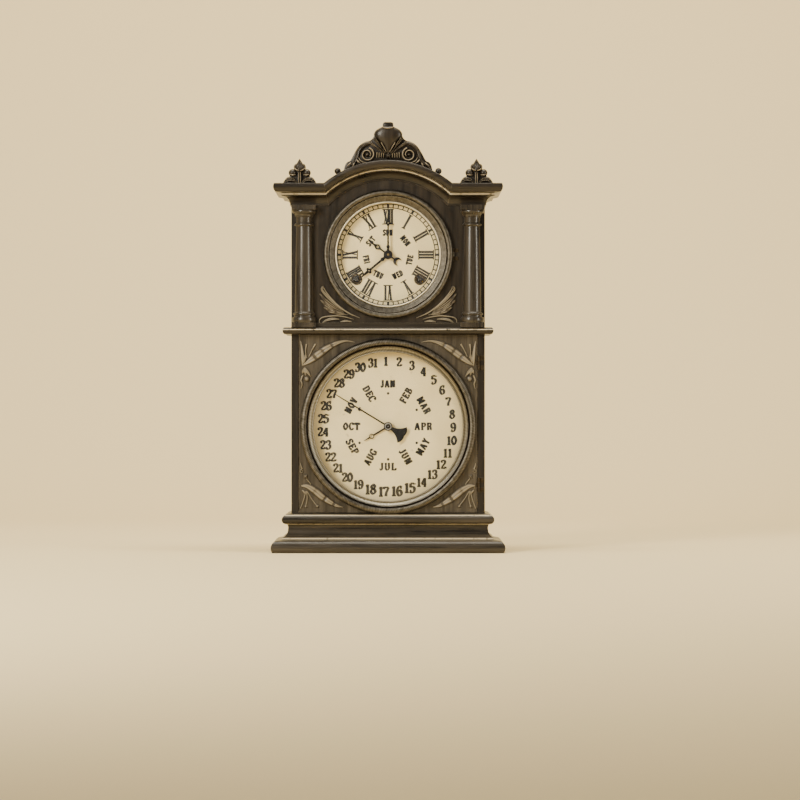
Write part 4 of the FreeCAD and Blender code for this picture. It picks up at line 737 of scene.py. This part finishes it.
def spun_brass(name, centre, groove, lip, lip_tone, count, slant):
    """Brass of one bezel: hatched all round, painted black in its groove as shade, and burnished on its sight
    lip.
    """
    material = aged_brass(name, (0.175, 0.160, 0.135), (0.070, 0.063, 0.051), 0.42)
    wire, inputs, colour = reopen(material)
    reach, across, up = wire.from_centre(centre)
    turn = wire.math("ARCTAN2", across, up)
    hatch = wire.math("SINE", wire.math("MULTIPLY_ADD", turn, count, wire.math("MULTIPLY", reach, slant)))
    cut = wire.math("MULTIPLY", wire.band(hatch, 0.1, 0.7), 0.65)
    # The groove is painted black: painted shade in the recess.
    colour = wire.mix(wire.line_mask(reach, *groove), colour, (0.006, 0.004, 0.003, 1))
    colour = wire.mix(wire.line_mask(reach, *lip), colour, lip_tone + (1,))
    wire.feed(inputs["Base Color"], wire.mix(cut, colour, (0.020, 0.016, 0.011, 1)))
    pitted = inputs["Normal"].links[0].from_socket
    wire.feed(inputs["Normal"], wire.relief(hatch, 0.5, 0.00012, pitted))
    return material


def round_section(start, via, end, steps=8):
    """Points on the arc through three (radius, out) points, without the last."""
    (ax, ay), (bx, by), (cx, cy) = start, via, end
    d = 2 * (ax * (by - cy) + bx * (cy - ay) + cx * (ay - by))
    ux = ((ax**2 + ay**2) * (by - cy) + (bx**2 + by**2) * (cy - ay) + (cx**2 + cy**2) * (ay - by)) / d
    uy = ((ax**2 + ay**2) * (cx - bx) + (bx**2 + by**2) * (ax - cx) + (cx**2 + cy**2) * (bx - ax)) / d
    first, middle, last = (math.atan2(y - uy, x - ux) for x, y in (start, via, end))
    sweep = (last - first) % (2 * math.pi)
    if (middle - first) % (2 * math.pi) > sweep:
        sweep -= 2 * math.pi
    r = math.dist(start, (ux, uy))
    return [(ux + r * math.cos(first + sweep * k / steps), uy + r * math.sin(first + sweep * k / steps))
            for k in range(steps)]


class Turning:
    """Turned metal, in millimetres: closed (radius, along) sections swept round an axis."""

    def __init__(self):
        self.vertices, self.faces = [], []

    def sweep(self, section, centre, axis="y", steps=192):
        """Along runs forward from the centre on the y axis, and up on the z axis."""
        first, n = len(self.vertices), len(section)
        for k in range(steps):
            c, s = math.cos(2 * math.pi * k / steps), math.sin(2 * math.pi * k / steps)
            for r, along in section:
                spot = (r * c, -along, r * s) if axis == "y" else (r * c, r * s, along)
                self.vertices.append(tuple((o + v) * MM for o, v in zip(centre, spot)))
        for k in range(steps):
            for i in range(n):
                a, b = first + k * n + i, first + k * n + (i + 1) % n
                c, d = first + (k + 1) % steps * n + (i + 1) % n, first + (k + 1) % steps * n + i
                self.faces.append((a, b, c, d))

    def piece(self, name, material, body, slot):
        made = mesh_piece(name, self.vertices, self.faces)
        close_form(made, 32)
        made.data.materials.append(material)
        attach(made, body)
        return made


def bezel_section(sight, rim, rebate, neck, bead, front):
    """Outer bead, groove, hollow, sight lip, and the neck and rebate behind."""
    inner = rim - bead
    return ([(rim, 0.0)] + round_section((rim, 2.0), (rim - bead * 0.35, front), (inner, front - 1.4), 12)
            + [(inner, front - 1.4), (inner - 0.2, front - 3.6), (inner - 0.9, front - 3.6),
               (inner - 1.0, front - 2.6)]
            + round_section((inner - 1.3, front - 2.4), (sight + 4.6, front - 4.6), (sight + 2.2, 3.4), 8)
            + [(sight + 2.2, 3.4)] + round_section((sight + 1.8, 4.2), (sight + 0.8, 4.9), (sight, 3.4), 6)
            + [(sight, 3.2), (sight, 1.0), (rebate, 1.0), (rebate, -3.0), (neck, -3.0), (neck, 0.0)])


def fit_bezel(node, sight, rebate, neck, bead, groove, lip, lip_tone, hatching, slant):
    """One bezel ring and its glass keeper, in the place of its CAD node, with its brass."""
    (_, front, low), (_, _, high) = mm_box(node)
    plane = mm_box("upper_front_board")[0][1]
    ring = Turning()
    centre = (0.0, plane, (low + high) / 2)
    rim = (high - low) / 2
    ring.sweep(bezel_section(sight, rim, rebate, neck, bead, plane - front), centre)
    ring.sweep([(rebate - 0.05, -1.4), (rebate - 0.05, -2.6), (rebate - 2.0, -2.6), (rebate - 2.0, -1.4)],
               centre)
    brass = spun_brass(node + "_ring_brass", centre[2] * MM, ((rim - bead - 0.55) * MM, groove), lip,
                       lip_tone, hatching, slant)
    return ring, brass, centre, rim


time_ring, time_brass, time_centre, time_rim = fit_bezel(
    "time_bezel", 70.0, 73.4, 75.6, 6.2, 0.0006, (0.0709, 0.0008), (0.98, 0.90, 0.70), 300.0, 0.0)
HINGE_X = 88.6                          # of the hinge pin beside the time bezel
pin_y, pin_z = time_centre[1] - 2.2, time_centre[2]
time_ring.sweep([(0.85, -2.9), (1.6, -2.9), (1.8, -2.6), (1.8, 2.6), (1.6, 2.9), (0.85, 2.9)],
                (HINGE_X, pin_y, pin_z), "z", 32)
lug = ((time_rim - 1.0, -1.2), (time_rim - 1.0, 1.6), (HINGE_X - 1.0, 1.2), (HINGE_X - 1.0, -1.2))
first = len(time_ring.vertices)
time_ring.vertices += [(x * MM, (pin_y + y) * MM, (pin_z + z) * MM) for z in (-2.9, 2.9) for x, y in lug]
time_ring.faces += [tuple(first + i for i in face) for face in ((0, 1, 2, 3), (7, 6, 5, 4), (0, 4, 5, 1),
                                                                (1, 5, 6, 2), (2, 6, 7, 3), (3, 7, 4, 0))]
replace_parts(time_ring.piece("time_bezel_ring", time_brass, "time_sash", "antique_brass"), "time_bezel")
date_ring, date_brass, _, _ = fit_bezel(
    "calendar_bezel", 101.3, 104.6, 106.8, 7.6, 0.0013, (0.1044, 0.0027), (0.36, 0.33, 0.26), 330.0, 900.0)
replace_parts(date_ring.piece("calendar_bezel_ring", date_brass, "door", "antique_brass"), "calendar_bezel")
hinge_brass = aged_brass("hinge_brass", (0.075, 0.058, 0.038), (0.026, 0.020, 0.013), 0.50, edge_wear_highlight=0.2)
finish_nodes(hinge_brass, "case_hardware", "door_knuckles", "winding_grommets")


# The glasses: two discs of thin old crown glass, faintly wavy, let into the bezels.
def thin_glass(name):
    """Glass that bends what is seen through it, but lets light and shadow straight through."""
    material, wire, inputs = new_material(name, 0.02)
    inputs["Base Color"].default_value = (0.97, 0.98, 0.97, 1)
    inputs["Transmission Weight"].default_value = 1.0
    inputs["IOR"].default_value = 1.45
    wire.feed(inputs["Normal"], wire.relief(wire.noise(wire.place(), 26.0, 1.0), 0.12, 0.0002))
    clear, path, choose = (wire.add(kind) for kind in ("BsdfTransparent", "LightPath", "MixShader"))
    passes = wire.math("MAXIMUM", path.outputs["Is Shadow Ray"], path.outputs["Is Diffuse Ray"])
    glass = wire.nodes["Principled BSDF"].outputs["BSDF"]
    for socket, value in zip(choose.inputs, (passes, glass, clear.outputs["BSDF"])):
        wire.feed(socket, value)
    wire.feed(wire.nodes["Material Output"].inputs["Surface"], choose.outputs["Shader"])
    return material


finish_nodes(thin_glass("crown_glass"), "time_glass", "calendar_glass")


# The dials: printed cream paper pasted on zinc. The paper has yellowed, with faint fox marks and a laid
# texture; it is painted a little darker towards the rim.
def dial_paper(name, centre_z, rim):
    """Yellowed paper, painted darker towards the rim near a bezel of that sight radius."""
    material, wire, inputs = new_material(name, 0.62)
    reach, _, _ = wire.from_centre(centre_z)
    place = wire.place()
    stain = wire.band(wire.noise(place, 28.0, 6.0, 0.4), 0.35, 0.72)
    rim_darkening = wire.band(reach, rim * 0.90, rim * 1.02)
    fox = wire.band(wire.noise(place, 120.0, 2.0), 0.71, 0.78)
    colour = wire.mix(stain, (0.95, 0.795, 0.46, 1), (0.86, 0.71, 0.39, 1))
    # Darker towards the rim.
    colour = wire.mix(wire.math("MULTIPLY", rim_darkening, 0.45), colour, (0.36, 0.28, 0.16, 1))
    colour = wire.mix(wire.math("MULTIPLY", fox, 0.35), colour, (0.40, 0.28, 0.15, 1))
    wire.feed(inputs["Base Color"], colour)
    wire.feed(inputs["Normal"], wire.relief(wire.noise(place, 700.0, 4.0), 0.5, 0.00005))
    return material


def disc_of(node):
    """Centre of a round CAD node that faces the front, and its front plane."""
    low, high = (Vector(corner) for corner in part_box(node))
    return (low.x + high.x) / 2, (low.z + high.z) / 2, low.y


time_disc, calendar_disc = disc_of("time_dial"), disc_of("calendar_dial")
TIME_SIGHT, CALENDAR_SIGHT = 0.0700, 0.1013             # radius of each dial that the bezel leaves open
finish_nodes(dial_paper("time_dial_paper", time_disc[1], TIME_SIGHT), "time_dial")
finish_nodes(dial_paper("calendar_dial_paper", calendar_disc[1], CALENDAR_SIGHT), "calendar_dial")


# The printing on the dials: black rings, strokes, fat slab-serif figures and letters, and Roman hours, all
# struck in letterpress ink that stands a hair proud of the paper.
INK_T = 0.00008                 # thickness of the ink, in metres
THICK, THIN, NIB = 0.345, 0.165, 18.0    # pen widths in letter heights, and the pen's lean in degrees


def line(*numbers):
    """A straight stroke, by the across and up of its ends, in letter heights like all the strokes."""
    return "line", numbers[:2], numbers[2:]


def curve(*numbers):
    return ("curve", *zip(numbers[::2], numbers[1::2]))


def loop(*numbers):
    """A closed curve."""
    return ("loop", *zip(numbers[::2], numbers[1::2]))


def dot(x, z):
    """A round end of a curve."""
    return "dot", (x, z)


def stem(x):
    return line(x, 0.0, x, 1.0)


def foot(left, right):
    """A serif along the bottom; head is one along the top."""
    return line(left, 0.03, right, 0.03)


def head(left, right):
    return line(left, 0.97, right, 0.97)


# Each character: the width of its cell, then its strokes.
GLYPHS = {
    "0": (0.66, loop(0.33, 0.98, 0.57, 0.5, 0.33, 0.02, 0.09, 0.5)),
    "1": (0.5, stem(0.27), line(0.27, 0.93, 0.08, 0.78), foot(0.05, 0.49)),
    "2": (0.62, curve(0.12, 0.74, 0.17, 0.93, 0.33, 0.98, 0.5, 0.88, 0.5, 0.66, 0.33, 0.42, 0.1, 0.1),
         line(0.06, 0.07, 0.56, 0.07), line(0.54, 0.05, 0.59, 0.26), dot(0.15, 0.76)),
    "3": (0.62, curve(0.12, 0.8, 0.2, 0.96, 0.36, 0.98, 0.5, 0.84, 0.46, 0.62, 0.27, 0.53),
         curve(0.27, 0.53, 0.5, 0.46, 0.54, 0.24, 0.4, 0.04, 0.22, 0.03, 0.09, 0.16), dot(0.14, 0.78),
         dot(0.13, 0.22)),
    "4": (0.66, stem(0.44), line(0.42, 0.98, 0.05, 0.3), line(0.04, 0.28, 0.63, 0.28), foot(0.28, 0.6)),
    "5": (0.62, head(0.14, 0.52), line(0.52, 0.97, 0.54, 0.84), line(0.15, 0.97, 0.13, 0.52),
         curve(0.13, 0.54, 0.34, 0.62, 0.53, 0.48, 0.52, 0.2, 0.36, 0.03, 0.2, 0.03, 0.09, 0.16),
         dot(0.13, 0.22)),
    "6": (0.64,
         curve(0.52, 0.84, 0.4, 0.98, 0.22, 0.9, 0.11, 0.62, 0.12, 0.26, 0.3, 0.02, 0.5, 0.12, 0.53,
               0.38, 0.36, 0.58, 0.16, 0.44), dot(0.5, 0.8)),
    "7": (0.6, line(0.08, 0.92, 0.56, 0.92), line(0.09, 0.98, 0.06, 0.72),
         curve(0.55, 0.92, 0.42, 0.62, 0.3, 0.32, 0.27, 0.0)),
    "8": (0.64, loop(0.32, 0.98, 0.5, 0.76, 0.32, 0.54, 0.14, 0.76),
         loop(0.32, 0.54, 0.55, 0.28, 0.32, 0.02, 0.09, 0.28)),
    "9": (0.64,
         curve(0.12, 0.16, 0.24, 0.02, 0.42, 0.1, 0.53, 0.38, 0.52, 0.74, 0.34, 0.98, 0.14, 0.88, 0.11,
               0.62, 0.28, 0.42, 0.48, 0.56), dot(0.14, 0.2)),
    "A": (0.78, line(0.38, 1.0, 0.12, 0.0), line(0.38, 1.0, 0.64, 0.0), line(0.2, 0.34, 0.56, 0.34),
         foot(0.02, 0.24), foot(0.5, 0.76)),
    "B": (0.72, stem(0.2), foot(0.04, 0.36), head(0.04, 0.36),
         curve(0.2, 0.97, 0.48, 0.94, 0.56, 0.76, 0.46, 0.56, 0.2, 0.52),
         curve(0.2, 0.52, 0.52, 0.48, 0.62, 0.27, 0.5, 0.06, 0.2, 0.03)),
    "C": (0.7,
         curve(0.6, 0.74, 0.5, 0.96, 0.32, 0.98, 0.12, 0.74, 0.12, 0.28, 0.32, 0.02, 0.5, 0.04, 0.62,
               0.26), line(0.61, 1.0, 0.6, 0.7)),
    "D": (0.76, stem(0.2), foot(0.04, 0.3), head(0.04, 0.3),
         curve(0.2, 0.97, 0.48, 0.92, 0.64, 0.68, 0.64, 0.32, 0.48, 0.08, 0.2, 0.03)),
    "E": (0.7, stem(0.2), foot(0.04, 0.62), head(0.04, 0.6), line(0.2, 0.52, 0.44, 0.52),
         line(0.59, 1.0, 0.6, 0.74), line(0.61, 0.0, 0.64, 0.28), line(0.44, 0.66, 0.44, 0.38)),
    "F": (0.68, stem(0.2), foot(0.04, 0.4), head(0.04, 0.6), line(0.2, 0.52, 0.44, 0.52),
         line(0.59, 1.0, 0.6, 0.72), line(0.44, 0.66, 0.44, 0.38)),
    "G": (0.76,
         curve(0.6, 0.76, 0.5, 0.96, 0.32, 0.98, 0.12, 0.74, 0.12, 0.28, 0.32, 0.02, 0.48, 0.06, 0.58,
               0.22), line(0.61, 1.0, 0.6, 0.72), line(0.6, 0.44, 0.6, 0.0),
         line(0.44, 0.46, 0.72, 0.46)),
    "H": (0.8, stem(0.18), stem(0.6), line(0.18, 0.52, 0.6, 0.52), foot(0.03, 0.34), head(0.03, 0.34),
         foot(0.45, 0.76), head(0.45, 0.76)),
    "I": (0.42, stem(0.2), foot(0.04, 0.37), head(0.04, 0.37)),
    "J": (0.6, curve(0.4, 1.0, 0.4, 0.6, 0.4, 0.24, 0.3, 0.03, 0.12, 0.08), head(0.24, 0.57),
         dot(0.11, 0.16)),
    "L": (0.68, stem(0.2), head(0.04, 0.38), foot(0.04, 0.6), line(0.59, 0.0, 0.63, 0.3)),
    "M": (0.98, stem(0.17), line(0.2, 1.0, 0.46, 0.1), line(0.46, 0.1, 0.72, 1.0), stem(0.77),
         foot(0.03, 0.31), foot(0.62, 0.94), head(0.03, 0.22), head(0.72, 0.92)),
    "N": (0.82, stem(0.16), line(0.18, 1.0, 0.62, 0.0), stem(0.64), foot(0.03, 0.3), head(0.03, 0.22),
         head(0.5, 0.77)),
    "O": (0.76, loop(0.37, 0.98, 0.63, 0.5, 0.37, 0.02, 0.11, 0.5)),
    "P": (0.7, stem(0.2), foot(0.04, 0.38), head(0.04, 0.3),
         curve(0.2, 0.97, 0.5, 0.94, 0.61, 0.74, 0.5, 0.5, 0.2, 0.46)),
    "R": (0.76, stem(0.2), foot(0.04, 0.38), head(0.04, 0.3),
         curve(0.2, 0.97, 0.5, 0.94, 0.58, 0.76, 0.48, 0.56, 0.2, 0.52),
         curve(0.36, 0.52, 0.54, 0.4, 0.6, 0.1, 0.74, 0.04)),
    "S": (0.64,
         curve(0.53, 0.76, 0.44, 0.96, 0.26, 0.98, 0.12, 0.8, 0.2, 0.6, 0.44, 0.46, 0.53, 0.24, 0.4,
               0.03, 0.2, 0.04, 0.1, 0.24), line(0.55, 1.0, 0.54, 0.74), line(0.09, 0.0, 0.09, 0.28)),
    "T": (0.74, stem(0.37), foot(0.2, 0.54), head(0.05, 0.69), line(0.06, 1.0, 0.04, 0.7),
         line(0.68, 1.0, 0.7, 0.7)),
    "U": (0.8, curve(0.18, 1.0, 0.18, 0.6, 0.18, 0.24, 0.38, 0.02, 0.6, 0.22, 0.61, 0.6, 0.61, 1.0),
         head(0.03, 0.34), head(0.48, 0.74)),
    "V": (0.76, line(0.14, 1.0, 0.38, 0.0), line(0.38, 0.0, 0.62, 1.0), head(0.02, 0.28),
         head(0.49, 0.74)),
    "W": (1.04, line(0.14, 1.0, 0.34, 0.0), line(0.34, 0.0, 0.52, 0.96), line(0.52, 0.96, 0.72, 0.0),
         line(0.72, 0.0, 0.9, 1.0), head(0.02, 0.28), head(0.78, 1.02)),
    "Y": (0.76, line(0.14, 1.0, 0.38, 0.48), line(0.38, 0.48, 0.62, 1.0), line(0.38, 0.5, 0.38, 0.0),
         foot(0.22, 0.54), head(0.02, 0.28), head(0.5, 0.74)),
}


class Ink:
    """Collects the raised print of one dial, as thin closed strips in front of a plane."""

    def __init__(self, centre_x, centre_z, plane):
        self.centre, self.plane = (centre_x, centre_z), plane
        self.vertices, self.faces = [], []

    def strip(self, points, widths, closed=False):
        """A flat ribbon along points in metres from the dial's centre."""
        n, first = len(points), len(self.vertices)
        for k, (x, z) in enumerate(points):
            if closed:
                before, after = points[k - 1], points[(k + 1) % n]
            else:
                before, after = points[max(k - 1, 0)], points[min(k + 1, n - 1)]
            along = Vector((after[0] - before[0], after[1] - before[1])).normalized()
            side = Vector((-along.y, along.x)) * widths[k] / 2
            for across in (side, -side):
                for y in (self.plane - INK_T, self.plane):
                    self.vertices.append((self.centre[0] + x + across.x, y, self.centre[1] + z + across.y))
        for k in range(n if closed else n - 1):
            a, b = first + 4 * k, first + 4 * ((k + 1) % n)
            self.faces += [(a, b, b + 2, a + 2), (a + 1, a + 3, b + 3, b + 1), (a, a + 1, b + 1, b),
                           (a + 2, b + 2, b + 3, a + 3)]
        if not closed:
            a, b = first, first + 4 * (n - 1)
            self.faces += [(a, a + 2, a + 3, a + 1), (b, b + 1, b + 3, b + 2)]

    def ring(self, radius, width, steps=144):
        points = [(radius * math.cos(2 * math.pi * k / steps), radius * math.sin(2 * math.pi * k / steps))
                  for k in range(steps)]
        self.strip(points, [width] * steps, closed=True)

    def dot(self, at, radius, steps=16):
        """A filled round spot: a ribbon that widens and narrows like a circle."""
        stations = [math.cos(math.pi * k / steps) for k in range(1, steps)]
        self.strip([(at[0] + radius * s, at[1]) for s in stations],
                   [2 * radius * math.sqrt(1 - s * s) for s in stations])

    def tick(self, degrees, inner, outer, width):
        a = math.radians(degrees)
        self.strip([(r * math.sin(a), r * math.cos(a)) for r in (inner, outer)], [width] * 2)

    def glyph(self, strokes, corner, right, up, height, squeeze, weight):
        """One character: its strokes placed with the corner of its cell at the given point."""
        def spot(p):
            return (corner[0] + (p[0] * right[0] * squeeze + p[1] * up[0]) * height,
                    corner[1] + (p[0] * right[1] * squeeze + p[1] * up[1]) * height)
        for kind, *points in strokes:
            if kind == "dot":
                self.dot(spot(points[0]), 0.105 * height * weight)
                continue
            closed = kind == "loop"
            path = list(points) if kind == "line" else smooth_path(points, closed)
            widths = []
            for k in range(len(path)):
                after = path[(k + 1) % len(path)] if closed else path[min(k + 1, len(path) - 1)]
                before = path[max(k - 1, 0)]
                lean = math.atan2(after[1] - before[1], (after[0] - before[0]) * squeeze) - math.radians(NIB)
                widths.append((THIN + (THICK - THIN) * abs(math.sin(lean)) ** 1.5) * height * weight)
            self.strip([spot(p) for p in path], widths, closed)

    def text(self, word, middle, right, up, height, squeeze=1.0, weight=1.0, gap=0.06):
        """A word centred on a point."""
        widths = [(GLYPHS[c][0] + gap) * squeeze * height for c in word]
        start = -sum(widths) / 2
        for c, wide in zip(word, widths):
            corner = (middle[0] + start * right[0] - up[0] * height / 2,
                      middle[1] + start * right[1] - up[1] * height / 2)
            self.glyph(GLYPHS[c][1:], corner, right, up, height, squeeze, weight)
            start += wide

    def piece(self, name):
        return mesh_piece(name, self.vertices, self.faces, smooth=False)


def round_place(degrees, radius):
    """A point at a clock angle, with its outward and clockwise directions."""
    a = math.radians(degrees)
    outward, clockwise = (math.sin(a), math.cos(a)), (math.cos(a), -math.sin(a))
    return (radius * outward[0], radius * outward[1]), outward, clockwise


def reverse(direction):
    return -direction[0], -direction[1]


ROMAN_IN, ROMAN_OUT = 0.0418, 0.0619                    # reach of the hours' feet and heads
ROMAN_FAT, ROMAN_FINE = 0.0031, 0.0014                  # width of their strokes
ROMAN_WIDE = {"I": 0.0038, "V": 0.0072, "X": 0.0078}
ROMAN_WIDEST, SERIF_PAST = 0.0142, 0.0009               # of a whole hour, and of its serifs past it


def roman_hour(ink, word, degrees):
    """A tall Roman hour, its feet towards the centre."""
    foot, outward, clockwise = round_place(degrees, ROMAN_IN)
    tall = ROMAN_OUT - ROMAN_IN
    widths = [ROMAN_WIDE[c] for c in word]
    squeeze = min(1.0, ROMAN_WIDEST / sum(widths))
    fat, fine = ROMAN_FAT * (0.55 + 0.45 * squeeze), ROMAN_FINE

    def stroke(x0, h0, x1, h1, width):
        ink.strip([(foot[0] + x * clockwise[0] + h * tall * outward[0],
                    foot[1] + x * clockwise[1] + h * tall * outward[1]) for x, h in ((x0, h0), (x1, h1))],
                  [width] * 2)

    x = -sum(widths) * squeeze / 2
    for c in word:
        wide = ROMAN_WIDE[c] * squeeze
        inset = 0.22 * wide
        if c == "I":
            stroke(x + wide / 2, 0, x + wide / 2, 1, fat)
        elif c == "V":
            stroke(x + inset, 1, x + wide / 2, 0, fat)
            stroke(x + wide - inset, 1, x + wide / 2, 0, fine)
        else:
            stroke(x + inset, 1, x + wide - inset, 0, fat)
            stroke(x + wide - inset, 1, x + inset, 0, fine)
        x += wide
    for h in (0.0, 1.0):
        half = sum(widths) * squeeze / 2 + SERIF_PAST
        stroke(-half, h, half, h, fine)


def time_print():
    """The minute track, the hours and the weekdays; the lower weekdays stand heads in."""
    ink = Ink(*time_disc)
    track_in, track_out = 0.0642, 0.0691
    weekday_reach, weekday_tall = 0.0302, 0.0080
    for radius in (track_in, track_out):
        ink.ring(radius, 0.0012)
    for minute in range(60):
        heavy = minute % 5 == 0
        ink.tick(6 * minute, track_in, track_out, 0.0032 if heavy else 0.0015)
    for hour, word in enumerate(("XII", "I", "II", "III", "IIII", "V", "VI", "VII", "VIII", "IX", "X", "XI")):
        roman_hour(ink, word, 30 * hour)
    for day, word in enumerate(("SUN", "MON", "TUE", "WED", "THU", "FRI", "SAT")):
        middle, outward, clockwise = round_place(360 / 7 * day, weekday_reach)
        if day in (2, 3, 4, 5):
            outward, clockwise = reverse(outward), reverse(clockwise)
        ink.text(word, middle, clockwise, outward, weekday_tall, 0.64, 0.80, 0.14)
    return ink.piece("time_dial_print")


# Each month: its name, its reach in millimetres, how far it is stretched, and how it lies.
MONTHS = (("JAN", 58.0, 0.88, "upright"), ("FEB", 49.0, 0.96, "outward"), ("MAR", 56.5, 0.92, "tops out"),
          ("APR", 48.5, 1.02, "upright"), ("MAY", 55.0, 0.92, "tops in"), ("JUN", 48.0, 0.96, "outward"),
          ("JUL", 55.0, 1.06, "upright"), ("AUG", 48.0, 0.92, "inward"), ("SEP", 56.0, 0.98, "tops in"),
          ("OCT", 49.6, 0.98, "upright"), ("NOV", 58.0, 0.90, "tops out"), ("DEC", 51.0, 0.98, "inward"))
LIES = {"upright": lambda out, clock: ((1, 0), (0, 1)), "tops out": lambda out, clock: (clock, out),
        "tops in": lambda out, clock: (reverse(clock), reverse(out)),
        "outward": lambda out, clock: (out, reverse(clock)),
        "inward": lambda out, clock: (reverse(out), clock)}
DATE_R, DATE_TALL, MONTH_TALL = 0.0890, 0.0118, 0.0094
DATE_LEAD = 2.0                         # degrees that the dates start before the top
MONTH_DOT_R, MONTH_DOT = 0.0450, 0.0018


def calendar_print():
    """The dates, a little taller at the foot of the dial, and the months with dots between."""
    ink = Ink(*calendar_disc)
    for day in range(1, 32):
        middle, _, _ = round_place((day - 1) * 360 / 31 - DATE_LEAD, DATE_R)
        tall = DATE_TALL * (1.12 if 14 < day < 19 else 1.0)
        ink.text(str(day), middle, (1, 0), (0, 1), tall, 0.99, 0.93, 0.02)
    for k, (word, radius, stretch, lie) in enumerate(MONTHS):
        middle, outward, clockwise = round_place(30 * k, radius / 1000)
        right, up = LIES[lie](outward, clockwise)
        ink.text(word, middle, right, up, MONTH_TALL, stretch, 1.0, 0.12)
        if k % 2 == 0:
            ink.dot(round_place(30 * k, MONTH_DOT_R)[0], MONTH_DOT)
    return ink.piece("calendar_dial_print")


ink_black, wire, inputs = new_material("letterpress_ink", 0.55)
thin_ink = wire.band(wire.noise(wire.place(), 900.0), 0.52, 0.80)
wire.feed(inputs["Base Color"], wire.mix(thin_ink, (0.004, 0.003, 0.002, 1), (0.020, 0.015, 0.010, 1)))
for printed in (time_print(), calendar_print()):
    printed.data.materials.append(ink_black)
    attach(printed, "case")


# The hands: sawn from thin steel and blacked, with their edges rubbed and painted a little pale as
# highlight. Two blacked washers cover the pipes of the calendar hands.
def dull_metal(name, dark, light, roughness, scale=240.0, edge=(0.30, 0.27, 0.23), rub_highlight=0.5):
    """Worked metal with a brushed tone, faint stains and edges painted bright as wear and highlight."""
    material, wire, inputs = new_material(name, roughness, 1.0)
    stain = wire.noise(wire.place(), scale, 4.0, 0.5)
    edges = wire.group(edge_wear_and_highlight, Radius=0.0003, Breakup=500.0)
    colour = wire.mix(wire.band(stain, 0.35, 0.70), dark + (1,), light + (1,))
    # Edges painted bright: wear, and painted highlight.
    edge_wear_highlight = wire.math("MULTIPLY", edges["Mask"], rub_highlight)
    wire.feed(inputs["Base Color"], wire.mix(edge_wear_highlight, colour, edge + (1,)))
    wire.feed(inputs["Roughness"], wire.math("MULTIPLY_ADD", stain, 0.2, roughness - 0.08))
    wire.feed(inputs["Normal"], edges["Normal"])
    return material


hand_black = dull_metal("hand_black", (0.008, 0.008, 0.009), (0.022, 0.020, 0.019), 0.38, rub_highlight=0.15)
finish_nodes(hand_black, "minute_hand", "hour_hand", "weekday_hand", "date_hand", "month_hand",
             "cannon_pinion")
hub = Turning()
hub_centre = (0.0, mm_box("date_wheel")[0][1], calendar_disc[1] / MM)
hub.sweep([(0.9, 0.1), (3.1, 0.1), (3.3, -0.2), (3.3, -0.9), (0.9, -0.9)], hub_centre, steps=48)
hub.sweep([(4.9, -0.1), (5.8, -0.1), (6.0, -0.4), (6.0, -1.8), (4.9, -1.8)], hub_centre, steps=64)
hub.piece("date_hub_washers", hand_black, "date_set", "hand_steel")


# The movement: stamped brass plates and wheels with steel springs and hammer, and a lens bob on a long
# rod. It shows only with the doors open or from inside.
finish_nodes(dull_metal("wheel_brass", (0.42, 0.28, 0.10), (0.66, 0.48, 0.20), 0.30, 90.0,
                        edge=(0.90, 0.72, 0.38)),
             "minute_wheel", "hour_wheel", "day_idler", "day_wheel", "movement_plates",
             "time_great_wheel", "second_wheel", "centre_wheel", "third_wheel", "escape_wheel",
             "strike_great_wheel", "pin_wheel", "fly", "calendar_plates", "month_idler", "month_wheel",
             "pendulum")
finish_nodes(dull_metal("plain_steel", (0.26, 0.25, 0.24), (0.46, 0.45, 0.43), 0.34, 120.0,
                        edge=(0.75, 0.73, 0.70)),
             "verge", "hammer", "date_wheel", "lift_rod", "back_screws")
finish_nodes(dull_metal("blued_spring", (0.05, 0.07, 0.12), (0.12, 0.15, 0.22), 0.28, 60.0), "mainsprings")
finish_nodes(dull_metal("gong_black", (0.030, 0.028, 0.026), (0.07, 0.065, 0.06), 0.50, 160.0),
             "time_winding_arbor", "strike_winding_arbor", "gong")
